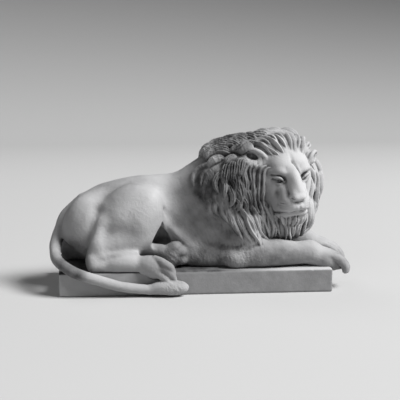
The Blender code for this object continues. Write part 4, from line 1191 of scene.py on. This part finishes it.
def make_floor(stage):
    """Pale sheet that runs under the plinth and sweeps up behind it."""
    reach, bend, radius, steps = 30.0, 1.05, 0.4, 16
    profile = [(-reach, 0.0), (-1.0, 0.0), (0.0, 0.0), (0.6, 0.0), (bend, 0.0)]
    for i in range(1, steps + 1):
        a = math.pi / 2 * i / steps
        profile.append((bend + radius * math.sin(a), radius * (1 - math.cos(a))))
    profile += [(bend + radius, 1.2), (bend + radius, 3.2)]
    points = [(x, y, z) for y, z in profile for x in (-reach, reach)]
    quads = [(2 * i, 2 * i + 1, 2 * i + 3, 2 * i + 2) for i in range(len(profile) - 1)]
    floor = add_mesh("floor", points, [], quads)
    floor.data.shade_smooth()
    material = bpy.data.materials.new("floor paper")
    material.use_nodes = True
    tree = material.node_tree
    calc = partial(math_node, tree)
    place = node(tree, "ShaderNodeTexCoord").outputs["Object"]
    at = node(tree, "ShaderNodeSeparateXYZ", Vector=place).outputs
    # painted shade: the sheet darkens towards the back, up the sweep and to the right, as
    # falling-off light would
    away = calc("ADD", calc("ADD", at["Y"], at["Z"]), calc("MULTIPLY", at["X"], 0.22))
    far = node(tree, "ShaderNodeMapRange", From_Min=0.5, From_Max=1.9, Value=away)
    colour = mix_colours(tree, calc("POWER", far.outputs["Result"], 1.9), (*stage.floor_colour, 1),
                         (*(0.13 * v for v in stage.floor_colour), 1))
    paper = node(tree, "ShaderNodeTexNoise", Vector=place, Scale=40.0, Detail=3.0)
    rough = calc("ADD", 0.8, calc("MULTIPLY", paper.outputs["Fac"], 0.15))
    shader = tree.nodes["Principled BSDF"].inputs
    shader["Specular IOR Level"].default_value = 0.0
    for socket, value in (("Base Color", colour), ("Roughness", rough)):
        tree.links.new(value, shader[socket])
    floor.data.materials.append(material)


def make_camera(stage):
    """Camera that looks at the lion as the photograph does."""
    turn, rise = stage.azimuth, stage.elevation
    right = Vector((math.cos(turn), math.sin(turn), 0))
    back = Vector((math.sin(turn), -math.cos(turn), 0)) * math.cos(rise)
    back.z = math.sin(rise)
    up = back.cross(right)
    data = bpy.data.cameras.new("camera")
    data.sensor_width = 36.0
    data.lens = data.sensor_width * stage.distance / (FRAME * stage.scale)
    data.clip_start = 0.01
    camera = add_object("camera", data)
    camera.location = (right * ((FRAME / 2 - stage.origin_x) * stage.scale)
                       + up * ((stage.origin_y - FRAME / 2) * stage.scale)
                       + back * stage.distance)
    camera.rotation_euler = back.to_track_quat("Z", "Y").to_euler()
    bpy.context.scene.camera = camera


class LionSizes(bpy.types.PropertyGroup):
    length: bpy.props.FloatProperty(
        name="Length", description="From the bend of the tail to the tips of the forepaws",
        default=0.2445, unit="LENGTH")
    tail_thickness: bpy.props.FloatProperty(
        name="Tail Thickness", description="Thickness of the tail before its tuft", default=0.0088,
        unit="LENGTH")
    tail_lift: bpy.props.FloatProperty(
        name="Tail Lift", description="Gap between the tuft of the tail and the ground",
        default=0.001, unit="LENGTH")
    clearance: bpy.props.FloatProperty(
        name="Joint", description="Width of the joint between the lion and the plinth",
        default=0.0003, unit="LENGTH")
    clay_step: bpy.props.FloatProperty(
        name="Clay Step", description="Fineness of the modelled body", default=0.00056,
        unit="LENGTH")
    relief_step: bpy.props.FloatProperty(
        name="Relief Step", description="Fineness of the skin with its locks", default=0.00036,
        unit="LENGTH")
    relief: bpy.props.FloatProperty(
        name="Relief", description="Strength of fur strokes and tufts", default=1.0)
    faces: bpy.props.IntProperty(
        name="Triangles", description="Triangles in one slice of the lion before it is cut",
        default=190000)
    pieces: bpy.props.IntProperty(
        name="Slices", description="Slices that the finished skin is kept in", default=4)


class PlinthSizes(bpy.types.PropertyGroup):
    rounding: bpy.props.FloatProperty(
        name="Edge Rounding", description="Radius of the worn edges", default=0.0012,
        unit="LENGTH")
    chips: bpy.props.IntProperty(
        name="Chips", description="Small chips along the edges", default=26)
    step: bpy.props.FloatProperty(
        name="Step", description="Fineness of the plinth's skin", default=0.0006, unit="LENGTH")
    faces: bpy.props.IntProperty(
        name="Triangles", description="Triangles of the finished plinth", default=60000)


class PlasterFinish(bpy.types.PropertyGroup):
    plaster: bpy.props.FloatVectorProperty(
        name="Plaster", description="Colour of the clean plaster", default=(0.440, 0.440, 0.445),
        subtype="COLOR", size=3)
    # colour of the grime, also used for the painted shade
    grime_and_shade: bpy.props.FloatVectorProperty(
        name="Grime", description="Colour of the dust, wax and painted shade in the hollows",
        default=(0.031, 0.031, 0.032), subtype="COLOR", size=3)
    grime_and_shade_share: bpy.props.FloatProperty(
        name="Grime Amount", description="How full the deepest hollows are", default=0.92)
    # dust with painted shade on the mane, neck and belly
    dust_and_shade: bpy.props.FloatProperty(
        name="Dust and Shade", description="How dark the mane, neck and belly are with dust and painted shade", default=0.88)


class StudioStage(bpy.types.PropertyGroup):
    azimuth: bpy.props.FloatProperty(
        name="Azimuth", description="Turn of the camera about the lion", subtype="ANGLE",
        default=math.radians(-5.25))
    elevation: bpy.props.FloatProperty(
        name="Elevation", description="Height angle of the camera", subtype="ANGLE",
        default=math.radians(9.0))
    distance: bpy.props.FloatProperty(
        name="Distance", description="From the camera to the plinth", default=1.0, unit="LENGTH")
    scale: bpy.props.FloatProperty(
        name="Scale", description="Metres per pixel of a 400 pixel frame, at the plinth",
        default=0.0008375, precision=6)
    origin_x: bpy.props.FloatProperty(
        name="Origin Across", description="Column of the plinth's middle in the frame",
        default=192.45)
    origin_y: bpy.props.FloatProperty(
        name="Origin Down", description="Row of the plinth's foot in the frame", default=282.3)
    key_power: bpy.props.FloatProperty(
        name="Key Light", description="Power of the large light over the right side", default=456.0,
        unit="POWER")
    fill_power: bpy.props.FloatProperty(
        name="Fill Light", description="Power of the weak light at the left", default=4.0,
        unit="POWER")
    back_power: bpy.props.FloatProperty(
        name="Back Light", description="Power of the weak light behind the lion", default=5.0,
        unit="POWER")
    world: bpy.props.FloatProperty(
        name="Room Light", description="Strength of the light from all sides", default=0.02)
    floor_colour: bpy.props.FloatVectorProperty(
        name="Floor", description="Colour of the pale sheet", default=(0.455, 0.455, 0.455),
        subtype="COLOR", size=3)


class LION_OT_make_plinth(bpy.types.Operator):
    """Cast the plinth with its worn edges"""
    bl_idname = "plaster_lion.make_plinth"
    bl_label = "Plinth"

    def execute(self, context):
        scene = context.scene
        make_plinth(scene.plinth_sizes, scene.plaster_finish)
        return {"FINISHED"}


class LION_OT_make_lion(bpy.types.Operator):
    """Sculpt the lion, lay its mane and cast both in one skin"""
    bl_idname = "plaster_lion.make_lion"
    bl_label = "Lion"

    def execute(self, context):
        scene = context.scene
        make_lion(scene.lion_sizes, scene.plaster_finish)
        return {"FINISHED"}


class LION_OT_make_stage(bpy.types.Operator):
    """Set up the floor, the lights and the camera"""
    bl_idname = "plaster_lion.make_stage"
    bl_label = "Stage"

    def execute(self, context):
        stage = context.scene.studio_stage
        make_floor(stage)
        world = bpy.data.worlds.new("studio")
        world.use_nodes = True
        background = world.node_tree.nodes["Background"].inputs
        background["Color"].default_value = (1, 1, 1, 1)
        background["Strength"].default_value = stage.world
        context.scene.world = world
        context.scene.view_settings.view_transform = "Standard"
        middle = (0, 0, 0.06)
        add_area_light("key light", (2.96, -1.38, 3.62), middle, 2.08, stage.key_power)
        add_area_light("fill light", (-0.8, -1.5, 1.0), middle, 1.2, stage.fill_power)
        add_area_light("back light", (-0.7, 1.0, 1.5), middle, 1.0, stage.back_power)
        make_camera(stage)
        return {"FINISHED"}


class LION_PT_panel(bpy.types.Panel):
    bl_idname = "LION_PT_panel"
    bl_label = "Plaster Lion"
    bl_space_type = "VIEW_3D"
    bl_region_type = "UI"
    bl_category = "Plaster Lion"

    def draw(self, context):
        layout = self.layout
        for owner, operator in (("plinth_sizes", LION_OT_make_plinth),
                                ("lion_sizes", LION_OT_make_lion), ("plaster_finish", None),
                                ("studio_stage", LION_OT_make_stage)):
            group = getattr(context.scene, owner)
            box = layout.box()
            for name in type(group).__annotations__:
                box.prop(group, name)
            if operator:
                box.operator(operator.bl_idname)


GROUPS = {"lion_sizes": LionSizes, "plinth_sizes": PlinthSizes, "plaster_finish": PlasterFinish,
          "studio_stage": StudioStage}
OTHERS = (LION_OT_make_plinth, LION_OT_make_lion, LION_OT_make_stage, LION_PT_panel)


def register():
    for kind in (*GROUPS.values(), *OTHERS):
        bpy.utils.register_class(kind)
    for name, group in GROUPS.items():
        setattr(bpy.types.Scene, name, bpy.props.PointerProperty(type=group))


def unregister():
    for name in GROUPS:
        delattr(bpy.types.Scene, name)
    for kind in reversed((*GROUPS.values(), *OTHERS)):
        bpy.utils.unregister_class(kind)


def main():
    register()
    bpy.ops.plaster_lion.make_plinth()
    bpy.ops.plaster_lion.make_lion()
    bpy.ops.plaster_lion.make_stage()


if __name__ == "__main__":
    main()
